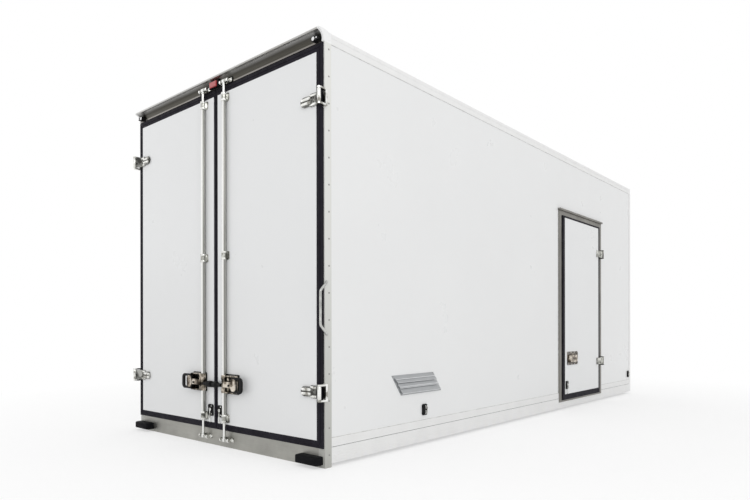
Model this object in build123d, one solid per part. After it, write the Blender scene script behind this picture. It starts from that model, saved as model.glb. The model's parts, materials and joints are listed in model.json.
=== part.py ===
from build123d import *
import os

# Insulated box body of a truck, in millimetres. X is to the right, Y is forward and
# Z is up. It is drawn with Y counted forward from the rear posts' rear face, and
# moved at the end so that its origin is under the middle of its box, on the ground.

# Overall size
BODY_WIDTH = 2400.0
BODY_LENGTH = 5950.0
BODY_HEIGHT = 2850.0

# Panels and the plates that cover their edges
PLATE = 4.0
WALL = 60.0
ROOF = 70.0
FLOOR = 60.0
FLOOR_TOP = 170.0
FLANGE = 60.0
CORNER_ROUND = 10.0

# Rear frame: hollow posts, a sill below the doors and a coved header above them
POST_WIDTH = 60.0
POST_DEPTH = 50.0
SILL_LIP = 2.0
HEADER_DROP = 122.0
HEADER_COVE = 70.0
HEADER_LEDGE = 10.0
HEADER_LEDGE_TALL = 12.0
HEADER_REACH = 52.0
HEADER_LIP = 10.0
HEADER_RISE = 10.0
COVE_SAG = 14.0

# Bottom and top rails of the side walls
RAIL_BOTTOM = 25.0
RAIL_TOP = 191.0
RAIL_JOINT = 132.0
RAIL_SHELF = 66.0
RAIL_SHELF_THICK = 6.0
GROOVE_DEEP = 1.5
GROOVE_TALL = 5.0
# Rows of grooves: the first one's height over the rail's foot, the pitch, the count
GROOVE_ROWS = ((14.0, 17.0, 6), (123.0, 14.0, 3))
ROOF_RAIL_DROP = 71.0
ROOF_RAIL_STEP = 30.0

# Underframe
RUNNER_OFFSET = 430.0
RUNNER_WIDTH = 60.0
RUNNER_TALL = 60.0
RUNNER_WALL = 5.0
CROSS_COUNT = 13
CROSS_WIDTH = 50.0
CROSS_WALL = 5.0
BRACKET_COUNT = 3
BRACKET_LENGTH = 130.0
BRACKET_FOOT = 70.0
BRACKET_THICK = 8.0
BRACKET_HOLE_D = 14.0
BRACKET_HOLE_PITCH = 80.0
BRACKET_END_INSET = 700.0

# Rear doors
LEAF_THICK = 60.0
LEAF_PROUD = 16.0
LEAF_GAP = 5.0
LEAF_CENTRE = 26.0
LEAF_BEVEL = 2.5
FIN_PROUD = 12.0
FIN_SEAT = 0.5
FIN_SIDE = 56.0
FIN_TOP = 52.0
FIN_BOTTOM = 49.0
FIN_CENTRE_GAP = 4.0
BULB_GAP = 1.5
BULB_DEPTH = 40.0
BULB_CENTRE = 8.0

# Rear door hinges
PIN_OUT = 5.0
PIN_BACK = 40.0
PIN_D = 12.0
PIN_FIT = 0.15
KNUCKLE_D = 25.0
STRAP_TALL = 85.0
STRAP_THICK = 9.0
STRAP_START = 95.0
STRAP_END = 204.0
STRAP_PLATE = 60.0
DOME_TALL = 68.0
DOME_THICK = 20.0
DOME_BEVEL = 7.0
DOME_LAP = 6.0
EAR_THICK = 12.0
EAR_WIDTH = 24.0
EAR_BEVEL = 7.0
EAR_GAP = 2.0
BRACKET_BASE = 8.0
HINGE_NOTCH = 7.0
HINGE_UP = 318.0
HINGE_DOWN = 310.0

# Lock rods on the rear doors
ROD_X = 140.0
ROD_BACK = 19.5
ROD_D = 34.0
SHANK_D = 21.0
ROD_FIT = 0.3
ROD_LOW = 50.0
ROD_DOWN = 42.0
TUBE_INSET = 30.0
GUIDE_INSET = 48.0
GUIDE_MIDDLE_UP = 18.0
GUIDE_WIDTH = 84.0
GUIDE_TALL = 64.0
GUIDE_BASE = 5.0
GUIDE_WALL = 6.0
CAM_WIDTH = 64.0
CAM_DEPTH = 22.0
CAM_TALL = 24.0
CAM_BEVEL = 6.0
KEEPER_WIDTH = 147.0
KEEPER_TALL = 32.0
KEEPER_PLATE = 4.0
KEEPER_CHEEK = 12.0
KEEPER_GAP = 9.0
KEEPER_REACH = 48.0
KEEPER_SEAT = 14.0
KEEPER_HALF = 15.0
KEEPER_BEVEL = 9.0

# Handle lock on each rod
LOCK_Z = 490.0
LOCK_END = 306.0
LOCK_TALL = 137.0
LOCK_DEPTH = 34.0
LOCK_ROUND = 14.0
LOCK_SHELL = 3.0
BACKING_THICK = 6.0
BACKING_TALL = 150.0
HUB_R = 24.0
KNOB_Z = 480.0
KNOB_BACK = 30.0
KNOB_NECK_D = 28.0
KNOB_HEAD_D = 50.0
KNOB_END = 12.0
KNOB_HEAD_LONG = 60.0
GRIP_THICK = 12.0
GRIP_END = 401.0
GRIP_TALL = 120.0
GRIP_BAR = 38.0
GRIP_ARM = 20.0
GRIP_ROUND = 34.0
GRIP_START = 269.0
GRIP_BEVEL = 3.0
LEVER_TALL = 46.0
KNOB_BEVEL = 8.0

# Hooks that hold a door open, and their catches on the side walls
HOOK_X = 62.0
HOOK_Z = 273.0
HOOK_BASE_WIDTH = 70.0
HOOK_BASE_TALL = 90.0
HOOK_BASE_THICK = 8.0
HOOK_BAR = 10.0
HOOK_DROP = 98.0
HOOK_BEVEL = 6.0
HOOK_HEAD = 12.0
HOOK_TOE = 15.0
CATCH_WIDTH = 70.0
CATCH_TALL = 88.0
CATCH_REACH = 55.0
CATCH_MOUTH = 34.0
CATCH_BEVEL = 9.0
CATCH_BACK = 15.0
CATCH_SILL = 10.0

# Lamps on the header
STOP_WIDTH = 92.0
STOP_TALL = 44.0
STOP_THICK = 10.0
HOUSING_WIDTH = 440.0
HOUSING_DOWN = 18.0
HOUSING_TALL = 49.0
HOUSING_BACK = 34.0
HOUSING_MIDDLE = 120.0
MARKER_INSET = 72.0
MARKER_DOWN = 46.0
MARKER_D = 40.0
MARKER_LENS_D = 28.0
MARKER_BACK = 36.0
MARKER_LENS_THICK = 6.0
MARKER_LENS_BEVEL = 3.0
MARKER_SMALL_D = 12.0
MARKER_SMALL_STEP = 32.0
MARKER_RIM = 6.0
STOP_BEVEL = 4.0

# Grab handle on the right rear post
GRAB_D = 16.0
GRAB_LOW = 872.0
GRAB_HIGH = 1219.0
GRAB_REACH = 56.0
GRAB_LAP = 14.0
GRAB_BEND = 30.0

# Dock bumpers on the sill
BUMPER_INSET = 20.0
BUMPER_WIDTH = 205.0
BUMPER_Z = (20.0, 76.0)
BUMPER_DEPTH = 70.0
BUMPER_ROUND = 14.0

# Side door in the right wall, hinged at its front edge
SIDE_CATCH_AHEAD = 110.0
SIDE_LENGTH = 990.0
SIDE_TOP = 2144.0
SIDE_BOTTOM = 171.0
SIDE_FRAME_PROUD = 10.0
SIDE_PROUD = 14.0
SIDE_JAMB = 127.0
SIDE_HEAD = 73.0
SIDE_SILL = 81.0
SIDE_LINER = 10.0
SIDE_FIN = 52.0
SIDE_FIN_TOP = 22.0
SIDE_FIN_BOTTOM = 62.0
SIDE_FIN_PROUD = 10.0
SIDE_PIN_AHEAD = 95.0
SIDE_PIN_OUT = 20.0
SIDE_KNUCKLE_D = 22.0
SIDE_HINGE_Z = (503.0, 1828.0)
SIDE_STRAP_TALL = 80.0
SIDE_STRAP_LONG = 66.0
SIDE_LOCK_START = 45.0
SIDE_LOCK_WIDTH = 290.0
SIDE_LOCK_TALL = 150.0
SIDE_LOCK_Z = 569.0
SIDE_LOCK_THICK = 6.0
SIDE_LOCK_ROUND = 10.0
PADDLE_INSET = 32.0
PADDLE_DEPTH = 18.0
PADDLE_ROUND = 8.0
SIDE_HOOK_INSET = 40.0
GUTTER_TALL = 20.0
GUTTER_REACH = 26.0
GUTTER_OVER = 12.0
GUTTER_WALL = 3.5

# Vent in the right wall, a leaning parallelogram with sloping slats
VENT_START = 683.0
VENT_LENGTH = 524.0
VENT_LEAN = 112.0
VENT_Z = (407.0, 562.0)
VENT_PLATE = 3.0
VENT_BORDER = 14.0
VENT_SLATS = 3
VENT_SLAT_REACH = 16.0
VENT_SLAT_GAP = 2.0
VENT_SLAT_EDGE = 3.0

# Places worked out from the sizes above
HALF = BODY_WIDTH / 2
MARKER_X = HALF - MARKER_INSET
WALL_OUT = HALF - PLATE
WALL_IN = WALL_OUT - WALL
ROOF_TOP = BODY_HEIGHT - PLATE
ROOF_UNDER = ROOF_TOP - ROOF
FLOOR_UNDER = FLOOR_TOP - FLOOR
FRONT_OUT = BODY_LENGTH - PLATE
FRONT_IN = FRONT_OUT - WALL
POST_IN = HALF - POST_WIDTH
SILL_TOP = FLOOR_TOP + SILL_LIP
OPEN_TOP = BODY_HEIGHT - HEADER_DROP
COVE_LOW = BODY_HEIGHT - HEADER_COVE
FLANGE_FRONT = BODY_LENGTH - FLANGE
LEAF_FACE = -LEAF_PROUD
LEAF_OUT = POST_IN - LEAF_GAP
LEAF_LOW = SILL_TOP + LEAF_GAP
LEAF_HIGH = OPEN_TOP - LEAF_GAP
PIN_X = HALF + PIN_OUT
PIN_Y = LEAF_FACE - PIN_BACK
ROD_Y = LEAF_FACE - ROD_BACK
ROD_HIGH = BODY_HEIGHT - ROD_DOWN
CAM_Z = (ROD_LOW + CAM_TALL / 2, ROD_HIGH - CAM_TALL / 2)
GUIDE_Z = (
    LEAF_LOW + GUIDE_INSET,
    (LEAF_LOW + LEAF_HIGH) / 2 + GUIDE_MIDDLE_UP,
    LEAF_HIGH - GUIDE_INSET,
)
REAR_HINGE_Z = (LEAF_LOW + HINGE_UP, LEAF_HIGH - HINGE_DOWN)
HOUSING_TOP = BODY_HEIGHT - HOUSING_DOWN
HOUSING_Z = (HOUSING_TOP - HOUSING_TALL, HOUSING_TOP)
MARKER_Z = BODY_HEIGHT - MARKER_DOWN
KNOB_Y = LEAF_FACE - KNOB_BACK
REAR_REACH = LEAF_PROUD + KNOB_BACK + KNOB_HEAD_D / 2
Y_MIDDLE = (BODY_LENGTH - REAR_REACH) / 2
FRAME_FACE = WALL_OUT + SIDE_FRAME_PROUD
SIDE_FACE = FRAME_FACE + SIDE_PROUD
SIDE_SWEEP = 2 * (SIDE_LENGTH + SIDE_PIN_AHEAD) - SIDE_HOOK_INSET
SIDE_START = BODY_LENGTH - SIDE_CATCH_AHEAD - SIDE_SWEEP
SIDE_END = SIDE_START + SIDE_LENGTH
SIDE_PIN_X = SIDE_FACE + SIDE_PIN_OUT
SIDE_PIN_Y = SIDE_END + SIDE_PIN_AHEAD


def block(x, y, z):
    """A box between two X, two Y and two Z values, each given as a pair."""
    middle = Pos((x[0] + x[1]) / 2, (y[0] + y[1]) / 2, (z[0] + z[1]) / 2)
    return middle * Box(abs(x[1] - x[0]), abs(y[1] - y[0]), abs(z[1] - z[0]))


def rod(start, end, diameter):
    """A round bar between two points."""
    path = Vector(*end) - Vector(*start)
    plane = Plane(origin=start, z_dir=path)
    return extrude(plane * Circle(diameter / 2), amount=path.length)


def along_x(points, x0, x1):
    """An outline of (y, z) points carried from x0 to x1."""
    outline = Plane.YZ.offset(x0) * Polyline(*points, close=True)
    return extrude(make_face(outline), amount=x1 - x0, dir=(1, 0, 0))


def along_y(points, y0, y1):
    """An outline of (x, z) points carried from y0 to y1."""
    outline = Plane.XZ.offset(-y0) * Polyline(*points, close=True)
    return extrude(make_face(outline), amount=y1 - y0, dir=(0, 1, 0))


def along_z(points, z0, z1):
    """An outline of (x, y) points carried from z0 to z1."""
    outline = Plane.XY.offset(z0) * Polyline(*points, close=True)
    return extrude(make_face(outline), amount=z1 - z0, dir=(0, 0, 1))


def both_sides(piece):
    """The piece and its mirror image across the middle of the body."""
    return [piece, mirror(piece, about=Plane.YZ)]


def bent_bar(points, radius, diameter):
    """A round bar along straight runs joined by arcs of one radius."""
    path = FilletPolyline(*points, radius=radius)
    start = Plane(origin=path @ 0, z_dir=path % 0)
    return sweep(start * Circle(diameter / 2), path=path)


# Panels

def floor_panel():
    return block((-WALL_IN, WALL_IN), (POST_DEPTH, FRONT_IN), (FLOOR_UNDER, FLOOR_TOP))


def roof_panel():
    return block((-WALL_OUT, WALL_OUT), (POST_DEPTH, FRONT_IN), (ROOF_UNDER, ROOF_TOP))


def side_wall():
    return block((WALL_IN, WALL_OUT), (POST_DEPTH, FRONT_IN), (FLOOR_UNDER, ROOF_UNDER))


def side_opening(margin, x):
    """The side doorway, larger than the leaf by a margin all round."""
    y = (SIDE_START - margin, SIDE_END + margin)
    return block(x, y, (SIDE_BOTTOM - margin, SIDE_TOP + margin))


def right_wall():
    return side_wall() - side_opening(LEAF_GAP + SIDE_LINER, (WALL_IN - 1, WALL_OUT + 1))


def left_wall():
    return mirror(side_wall(), about=Plane.YZ)


def front_wall():
    return block((-WALL_OUT, WALL_OUT), (FRONT_IN, FRONT_OUT), (FLOOR_UNDER, ROOF_TOP))


# Rails and posts along the panels' edges

def bottom_rail_section(outer):
    """Outer leaf, a shelf under the panels and a lip at the foot, as (x, z)."""
    shelf_top = FLOOR_UNDER
    shelf_under = FLOOR_UNDER - RAIL_SHELF_THICK
    lip_top = RAIL_BOTTOM + PLATE
    return [
        (outer, RAIL_BOTTOM),
        (outer, RAIL_TOP),
        (outer - PLATE, RAIL_TOP),
        (outer - PLATE, shelf_top),
        (outer - PLATE - RAIL_SHELF, shelf_top),
        (outer - PLATE - RAIL_SHELF, shelf_under),
        (outer - PLATE, shelf_under),
        (outer - PLATE, lip_top),
        (outer - FLANGE / 2, lip_top),
        (outer - FLANGE / 2, RAIL_BOTTOM),
    ]


def groove_heights():
    """Heights of the grooves in a bottom rail's face, below and above its joint."""
    heights = []
    for first, pitch, count in GROOVE_ROWS:
        heights += [RAIL_BOTTOM + first + pitch * i for i in range(count)]
    return heights


def bottom_rail():
    rail = along_y(bottom_rail_section(HALF), FLANGE, FLANGE_FRONT)
    y = (FLANGE - 1, FLANGE_FRONT + 1)
    for z in groove_heights():
        rail -= block((HALF - GROOVE_DEEP, HALF + 1), y, (z, z + GROOVE_TALL))
    joint = (RAIL_JOINT - 1, RAIL_JOINT + 2)
    return rail - block((HALF - 2 * GROOVE_DEEP, HALF + 1), y, joint)


def bottom_rails():
    right, left = both_sides(bottom_rail())
    y = (SIDE_START - SIDE_JAMB, SIDE_END + SIDE_JAMB)
    notch = block((WALL_OUT, HALF + 1), y, (SIDE_BOTTOM - SIDE_SILL, RAIL_TOP + 1))
    return [right - notch, left]


def roof_rail():
    """An angle over the wall's top edge, with a step along its outer leaf."""
    low = BODY_HEIGHT - ROOF_RAIL_DROP
    step = BODY_HEIGHT - ROOF_RAIL_STEP
    section = [
        (HALF, low),
        (HALF, step - 2),
        (HALF - GROOVE_DEEP, step - 2),
        (HALF - GROOVE_DEEP, step + 2),
        (HALF, step + 2),
        (HALF, BODY_HEIGHT),
        (HALF - FLANGE, BODY_HEIGHT),
        (HALF - FLANGE, ROOF_TOP),
        (WALL_OUT, ROOF_TOP),
        (WALL_OUT, low),
    ]
    rail = along_y(section, FLANGE, FLANGE_FRONT)
    corner = rail.edges().filter_by(Axis.Y).sort_by(Axis.Z)[-2:].sort_by(Axis.X)[-1]
    return fillet(corner, PLATE - 0.5)


def front_corner_post():
    """An angle round the front corner, with a round outer edge."""
    section = [
        (HALF, FLANGE_FRONT),
        (HALF, BODY_LENGTH),
        (HALF - FLANGE, BODY_LENGTH),
        (HALF - FLANGE, FRONT_OUT),
        (WALL_OUT, FRONT_OUT),
        (WALL_OUT, FLANGE_FRONT),
    ]
    post = along_z(section, RAIL_BOTTOM, ROOF_UNDER)
    corner = post.edges().filter_by(Axis.Z).sort_by(Axis.Y)[-2:].sort_by(Axis.X)[-1]
    return fillet(corner, PLATE - 0.5)


def front_rails():
    """The bottom and the top rail of the front wall, between its corners."""
    half = HALF - FLANGE
    shelf = (FRONT_IN - RAIL_SHELF / 2, FRONT_OUT)
    bottom = block((-half, half), (FRONT_OUT, BODY_LENGTH), (RAIL_BOTTOM, RAIL_TOP))
    under = (FLOOR_UNDER - RAIL_SHELF_THICK, FLOOR_UNDER)
    reach = WALL_OUT - RAIL_SHELF
    bottom += block((-reach, reach), shelf, under)
    low = BODY_HEIGHT - ROOF_RAIL_DROP
    top = block((-half, half), (FRONT_OUT, BODY_LENGTH), (low, BODY_HEIGHT))
    top += block((-half, half), (FLANGE_FRONT, BODY_LENGTH), (ROOF_TOP, BODY_HEIGHT))
    return [bottom, top]


def front_corner_cap():
    """Three leaves over the corner where the front post meets both top rails."""
    size = FLANGE
    low = ROOF_UNDER
    outer = block((HALF - size, HALF), (FLANGE_FRONT, BODY_LENGTH), (low, BODY_HEIGHT))
    edges = outer.edges().filter_by(Axis.Z).sort_by(Axis.Y)[-2:].sort_by(Axis.X)[-1]
    outer = fillet(edges, CORNER_ROUND)
    x = (HALF - size - 1, WALL_OUT)
    y = (FLANGE_FRONT - 1, FRONT_OUT)
    return outer - block(x, y, (low - 1, ROOF_TOP))


# Rear frame

def rear_post():
    """A hollow post whose outer plate laps onto the side wall."""
    outer = block((POST_IN, HALF), (0, POST_DEPTH), (0, COVE_LOW))
    x = (POST_IN + PLATE, HALF - PLATE)
    hollow = block(x, (PLATE, POST_DEPTH - PLATE), (-1, COVE_LOW - PLATE))
    lap = block((WALL_OUT, HALF), (POST_DEPTH, FLANGE), (0, COVE_LOW))
    return outer - hollow + lap


def header_section():
    """The header's outline as (y, z) edges: flat below, a cove, then a round lip."""
    ledge_top = COVE_LOW + HEADER_LEDGE_TALL
    lip_top = BODY_HEIGHT + HEADER_RISE
    lip_low = lip_top - HEADER_LIP - 2
    start = Vector(-HEADER_LEDGE, ledge_top)
    end = Vector(-HEADER_REACH + 4, lip_low)
    chord = end - start
    inward = Vector(chord.Y, -chord.X).normalized()
    sag = (start + end) / 2 + inward * COVE_SAG
    corners = [(POST_DEPTH, ROOF_UNDER), (POST_DEPTH, OPEN_TOP), (0, OPEN_TOP)]
    corners += [(0, COVE_LOW), (-HEADER_LEDGE, COVE_LOW), (start.X, start.Y)]
    lower = Polyline(*corners)
    cove = ThreePointArc((start.X, start.Y), (sag.X, sag.Y), (end.X, end.Y))
    upper = Polyline(
        (end.X, end.Y),
        (-HEADER_REACH, lip_low + 2),
        (-HEADER_REACH, lip_top),
        (0, lip_top),
        (POST_DEPTH, BODY_HEIGHT),
        (POST_DEPTH, ROOF_UNDER),
    )
    return lower + cove + upper


def header_solid(x0, x1):
    face = make_face(Plane.YZ.offset(x0) * header_section())
    return extrude(face, amount=x1 - x0, dir=(1, 0, 0))


def rear_header():
    """The coved header, cut away at its ends where the posts stand under it."""
    bar = header_solid(-WALL_OUT, WALL_OUT)
    for x in both_ranges(POST_IN, HALF + 1):
        bar -= block(x, (-1, POST_DEPTH + 1), (OPEN_TOP - 1, COVE_LOW))
    y = (PLATE, POST_DEPTH - PLATE)
    z = (OPEN_TOP + PLATE, BODY_HEIGHT - PLATE)
    return bar - block((-POST_IN + PLATE, POST_IN - PLATE), y, z)


def both_ranges(low, high):
    """A range of X on the right and its mirror image on the left."""
    return [(low, high), (-high, -low)]


def rear_corner_cap():
    """A plate over the header's end that laps onto the side wall."""
    plate = header_solid(WALL_OUT, HALF)
    plate -= block((WALL_OUT - 1, HALF + 1), (-1, POST_DEPTH + 1), (0, COVE_LOW))
    lap = (COVE_LOW, BODY_HEIGHT)
    return plate + block((WALL_OUT, HALF), (POST_DEPTH, FLANGE), lap)


def rear_sill():
    """A hollow beam under the rear doors, between the posts."""
    bar = block((-POST_IN, POST_IN), (0, POST_DEPTH), (0, SILL_TOP))
    x = (-POST_IN - 1, POST_IN + 1)
    return bar - block(x, (PLATE, POST_DEPTH - PLATE), (PLATE, SILL_TOP - PLATE))


def dock_bumper():
    """A rubber block with round corners, near the end of the sill."""
    x = (HALF - BUMPER_INSET - BUMPER_WIDTH, HALF - BUMPER_INSET)
    pad = block(x, (-BUMPER_DEPTH, 0), BUMPER_Z)
    edges = pad.edges().filter_by(Axis.Z).sort_by(Axis.Y)[:2]
    return fillet(edges, BUMPER_ROUND)


def grab_handle():
    """A bent bar behind the right rear post, its legs at 45 degrees."""
    x = HALF + GRAB_D / 2
    back = -GRAB_REACH + GRAB_D / 2
    leg = GRAB_LAP - back
    points = [
        (x, GRAB_LAP, GRAB_LOW),
        (x, back, GRAB_LOW + leg),
        (x, back, GRAB_HIGH - leg),
        (x, GRAB_LAP, GRAB_HIGH),
    ]
    return bent_bar(points, GRAB_BEND, GRAB_D)


# Underframe

def runner():
    x = (RUNNER_OFFSET - RUNNER_WIDTH / 2, RUNNER_OFFSET + RUNNER_WIDTH / 2)
    y = (POST_DEPTH, FRONT_OUT)
    tube = block(x, y, (0, RUNNER_TALL))
    inside = (x[0] + RUNNER_WALL, x[1] - RUNNER_WALL)
    z = (RUNNER_WALL, RUNNER_TALL - RUNNER_WALL)
    return tube - block(inside, (y[0] - 1, y[1] + 1), z)


def cross_members():
    """Channels across the runners, under the floor, evenly spaced."""
    first = POST_DEPTH
    last = FRONT_IN - RAIL_SHELF / 2 - CROSS_WIDTH
    pitch = (last - first) / (CROSS_COUNT - 1)
    reach = WALL_OUT - RAIL_SHELF
    members = []
    for i in range(CROSS_COUNT):
        y = first + pitch * i
        bar = block((-reach, reach), (y, y + CROSS_WIDTH), (RUNNER_TALL, FLOOR_UNDER))
        z = (RUNNER_TALL + CROSS_WALL, FLOOR_UNDER - CROSS_WALL)
        hollow = (y + CROSS_WALL, y + CROSS_WIDTH + 1)
        members.append(bar - block((-reach - 1, reach + 1), hollow, z))
    return members


def bracket_places():
    """Middles of the mounting brackets along the runners."""
    first = BRACKET_END_INSET
    last = BODY_LENGTH - BRACKET_END_INSET
    pitch = (last - first) / (BRACKET_COUNT - 1)
    return [first + pitch * i for i in range(BRACKET_COUNT)]


def mounting_brackets():
    """Angles beside the runners, each with two bolt holes through its foot."""
    side = RUNNER_OFFSET + RUNNER_WIDTH / 2
    brackets = []
    for y in bracket_places():
        span = (y - BRACKET_LENGTH / 2, y + BRACKET_LENGTH / 2)
        angle = block((side, side + BRACKET_FOOT), span, (0, BRACKET_THICK))
        angle += block((side, side + BRACKET_THICK), span, (0, RUNNER_TALL))
        x = side + (BRACKET_FOOT + BRACKET_THICK) / 2
        for step in (-BRACKET_HOLE_PITCH / 2, BRACKET_HOLE_PITCH / 2):
            hole = rod((x, y + step, -1), (x, y + step, BRACKET_THICK + 1), BRACKET_HOLE_D)
            angle -= hole
        brackets += both_sides(angle)
    return brackets


# Rear doors, drawn for the right side

def door_leaf():
    x = (LEAF_CENTRE, LEAF_OUT)
    leaf = block(x, (LEAF_FACE, LEAF_FACE + LEAF_THICK), (LEAF_LOW, LEAF_HIGH))
    return chamfer(leaf.faces().sort_by(Axis.Y)[0].edges(), LEAF_BEVEL)


def door_seal():
    """A rubber frame: a wide fin over the posts and a bulb inside the opening."""
    leaf = block(
        (LEAF_CENTRE, LEAF_OUT),
        (LEAF_FACE - 1, LEAF_FACE + LEAF_THICK),
        (LEAF_LOW, LEAF_HIGH),
    )
    fin = block(
        (FIN_CENTRE_GAP, LEAF_OUT + FIN_SIDE),
        (-FIN_PROUD, -FIN_SEAT),
        (LEAF_LOW - FIN_BOTTOM, LEAF_HIGH + FIN_TOP),
    )
    fin = chamfer(fin.faces().sort_by(Axis.Y)[0].edges(), LEAF_BEVEL)
    bulb = block(
        (BULB_CENTRE, POST_IN - BULB_GAP),
        (-FIN_SEAT, BULB_DEPTH),
        (SILL_TOP + BULB_GAP, OPEN_TOP - BULB_GAP),
    )
    seal = fin + bulb - leaf
    notch_x = (PIN_X - EAR_WIDTH / 2 - HINGE_NOTCH, HALF)
    reach = STRAP_TALL / 2 + EAR_GAP + EAR_THICK + HINGE_NOTCH
    for z in REAR_HINGE_Z:
        seal -= block(notch_x, (-FIN_PROUD - 1, 0), (z - reach, z + reach))
    return seal


def bent_strip(start, bend, end, thick):
    """The outline of a flat bar with one mitred bend, from its middle line."""
    ahead = (bend - start).normalized()
    on = (end - bend).normalized()
    first = Vector(-ahead.Y, ahead.X) * (thick / 2)
    last = Vector(-on.Y, on.X) * (thick / 2)
    mitre = (first + last) * (first.dot(first) / first.dot(first + last))
    points = [start + first, bend + mitre, end + last]
    points += [end - last, bend - mitre, start - first]
    return [(point.X, point.Y) for point in points]


def hinge_strap(z):
    """A knuckle, a sloping web and a plate that ends in a domed, round-ended part."""
    z_pair = (z - STRAP_TALL / 2, z + STRAP_TALL / 2)
    middle = LEAF_FACE - STRAP_THICK / 2
    start = Vector(HALF - STRAP_START - DOME_LAP, middle)
    bend = Vector(HALF - STRAP_PLATE, middle)
    strip = bent_strip(start, bend, Vector(PIN_X, PIN_Y), STRAP_THICK)
    strap = along_z(strip, *z_pair) + strap_dome(z)
    strap += rod((PIN_X, PIN_Y, z_pair[0]), (PIN_X, PIN_Y, z_pair[1]), KNUCKLE_D)
    bore = PIN_D + 2 * PIN_FIT
    return strap - rod((PIN_X, PIN_Y, z_pair[0] - 1), (PIN_X, PIN_Y, z_pair[1] + 1), bore)


def strap_dome(z):
    """The raised end of a strap, half round at its tip and rounded along its rim."""
    radius = DOME_TALL / 2
    tip = HALF - STRAP_END + radius
    plane = Plane(origin=(0, LEAF_FACE, 0), x_dir=(1, 0, 0), z_dir=(0, -1, 0))
    end = HALF - STRAP_START
    body = Pos((tip + end) / 2, z) * Rectangle(end - tip, DOME_TALL)
    outline = plane * (body + Pos(tip, z) * Circle(radius))
    dome = extrude(outline, amount=DOME_THICK)
    return chamfer(dome.faces().sort_by(Axis.Y)[0].edges(), DOME_BEVEL)


def ear_outline(length):
    """A hinge ear seen along its pin, as (along, across) points from its seat."""
    half = EAR_WIDTH / 2
    return [
        (0, -half),
        (length - EAR_BEVEL, -half),
        (length, -half + EAR_BEVEL),
        (length, half - EAR_BEVEL),
        (length - EAR_BEVEL, half),
        (0, half),
    ]


def hinge_bracket(z):
    """Two ears and a base on the post's corner, with the pin between the ears."""
    reach = STRAP_TALL / 2 + EAR_GAP + EAR_THICK
    x = (PIN_X - EAR_WIDTH / 2, PIN_X + EAR_WIDTH / 2)
    bracket = block(x, (-BRACKET_BASE, 0), (z - reach, z + reach))
    bracket += block((HALF, x[1]), (-BRACKET_BASE, PLATE * 2), (z - reach, z + reach))
    outline = ear_outline(EAR_WIDTH / 2 - PIN_Y)
    points = [(PIN_X + across, -along) for along, across in outline]
    for low in (z - reach, z + reach - EAR_THICK):
        bracket += along_z(points, low, low + EAR_THICK)
    ends = (z - reach + EAR_THICK / 2, z + reach - EAR_THICK / 2)
    return bracket + rod((PIN_X, PIN_Y, ends[0]), (PIN_X, PIN_Y, ends[1]), PIN_D)


def lock_rod():
    """A tube with a thinner shank and a cross cam at each end."""
    tube = ((ROD_X, ROD_Y, LEAF_LOW + TUBE_INSET), (ROD_X, ROD_Y, LEAF_HIGH - TUBE_INSET))
    bar = rod(*tube, ROD_D)
    bar += rod((ROD_X, ROD_Y, ROD_LOW), (ROD_X, ROD_Y, ROD_HIGH), SHANK_D)
    for z in CAM_Z:
        cam = block(
            (ROD_X - CAM_WIDTH / 2, ROD_X + CAM_WIDTH / 2),
            (ROD_Y - CAM_DEPTH / 2, ROD_Y + CAM_DEPTH / 2),
            (z - CAM_TALL / 2, z + CAM_TALL / 2),
        )
        bar += chamfer(cam.edges().filter_by(Axis.Z), CAM_BEVEL)
    return bar


def rod_guide(z):
    """A saddle over the rod, with a foot each side on the door."""
    z_pair = (z - GUIDE_TALL / 2, z + GUIDE_TALL / 2)
    x = (ROD_X - GUIDE_WIDTH / 2, ROD_X + GUIDE_WIDTH / 2)
    outer_r = ROD_D / 2 + GUIDE_WALL
    guide = block(x, (LEAF_FACE - GUIDE_BASE, LEAF_FACE), z_pair)
    guide += block((ROD_X - outer_r, ROD_X + outer_r), (ROD_Y, LEAF_FACE), z_pair)
    guide += rod((ROD_X, ROD_Y, z_pair[0]), (ROD_X, ROD_Y, z_pair[1]), 2 * outer_r)
    bore = ROD_D + 2 * ROD_FIT
    ends = ((ROD_X, ROD_Y, z_pair[0] - 1), (ROD_X, ROD_Y, z_pair[1] + 1))
    return guide - rod(*ends, bore) - block(x, (LEAF_FACE, 0), z_pair)


def keeper(seat, z):
    """A plate with two blunt-nosed cheeks, open to the rear, for a rod's cam."""
    plate = block(
        (ROD_X - KEEPER_WIDTH / 2, ROD_X + KEEPER_WIDTH / 2),
        (seat - KEEPER_PLATE, seat),
        (z - KEEPER_TALL / 2, z + KEEPER_TALL / 2),
    )
    inner = CAM_WIDTH / 2 + KEEPER_GAP
    low = z - KEEPER_HALF
    high = z + KEEPER_HALF
    outline = [
        (seat, low),
        (-KEEPER_REACH + KEEPER_BEVEL, low),
        (-KEEPER_REACH, low + KEEPER_BEVEL),
        (-KEEPER_REACH, high - KEEPER_BEVEL),
        (-KEEPER_REACH + KEEPER_BEVEL, high),
        (seat, high),
    ]
    for x0 in (ROD_X + inner, ROD_X - inner - KEEPER_CHEEK):
        plate += along_x(outline, x0, x0 + KEEPER_CHEEK)
    return plate


def cam_keepers():
    seats = ((0.0, CAM_Z[0]), (-KEEPER_SEAT, CAM_Z[1]))
    pieces = []
    for seat, z in seats:
        pieces += both_sides(keeper(seat, z))
    return pieces


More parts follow.
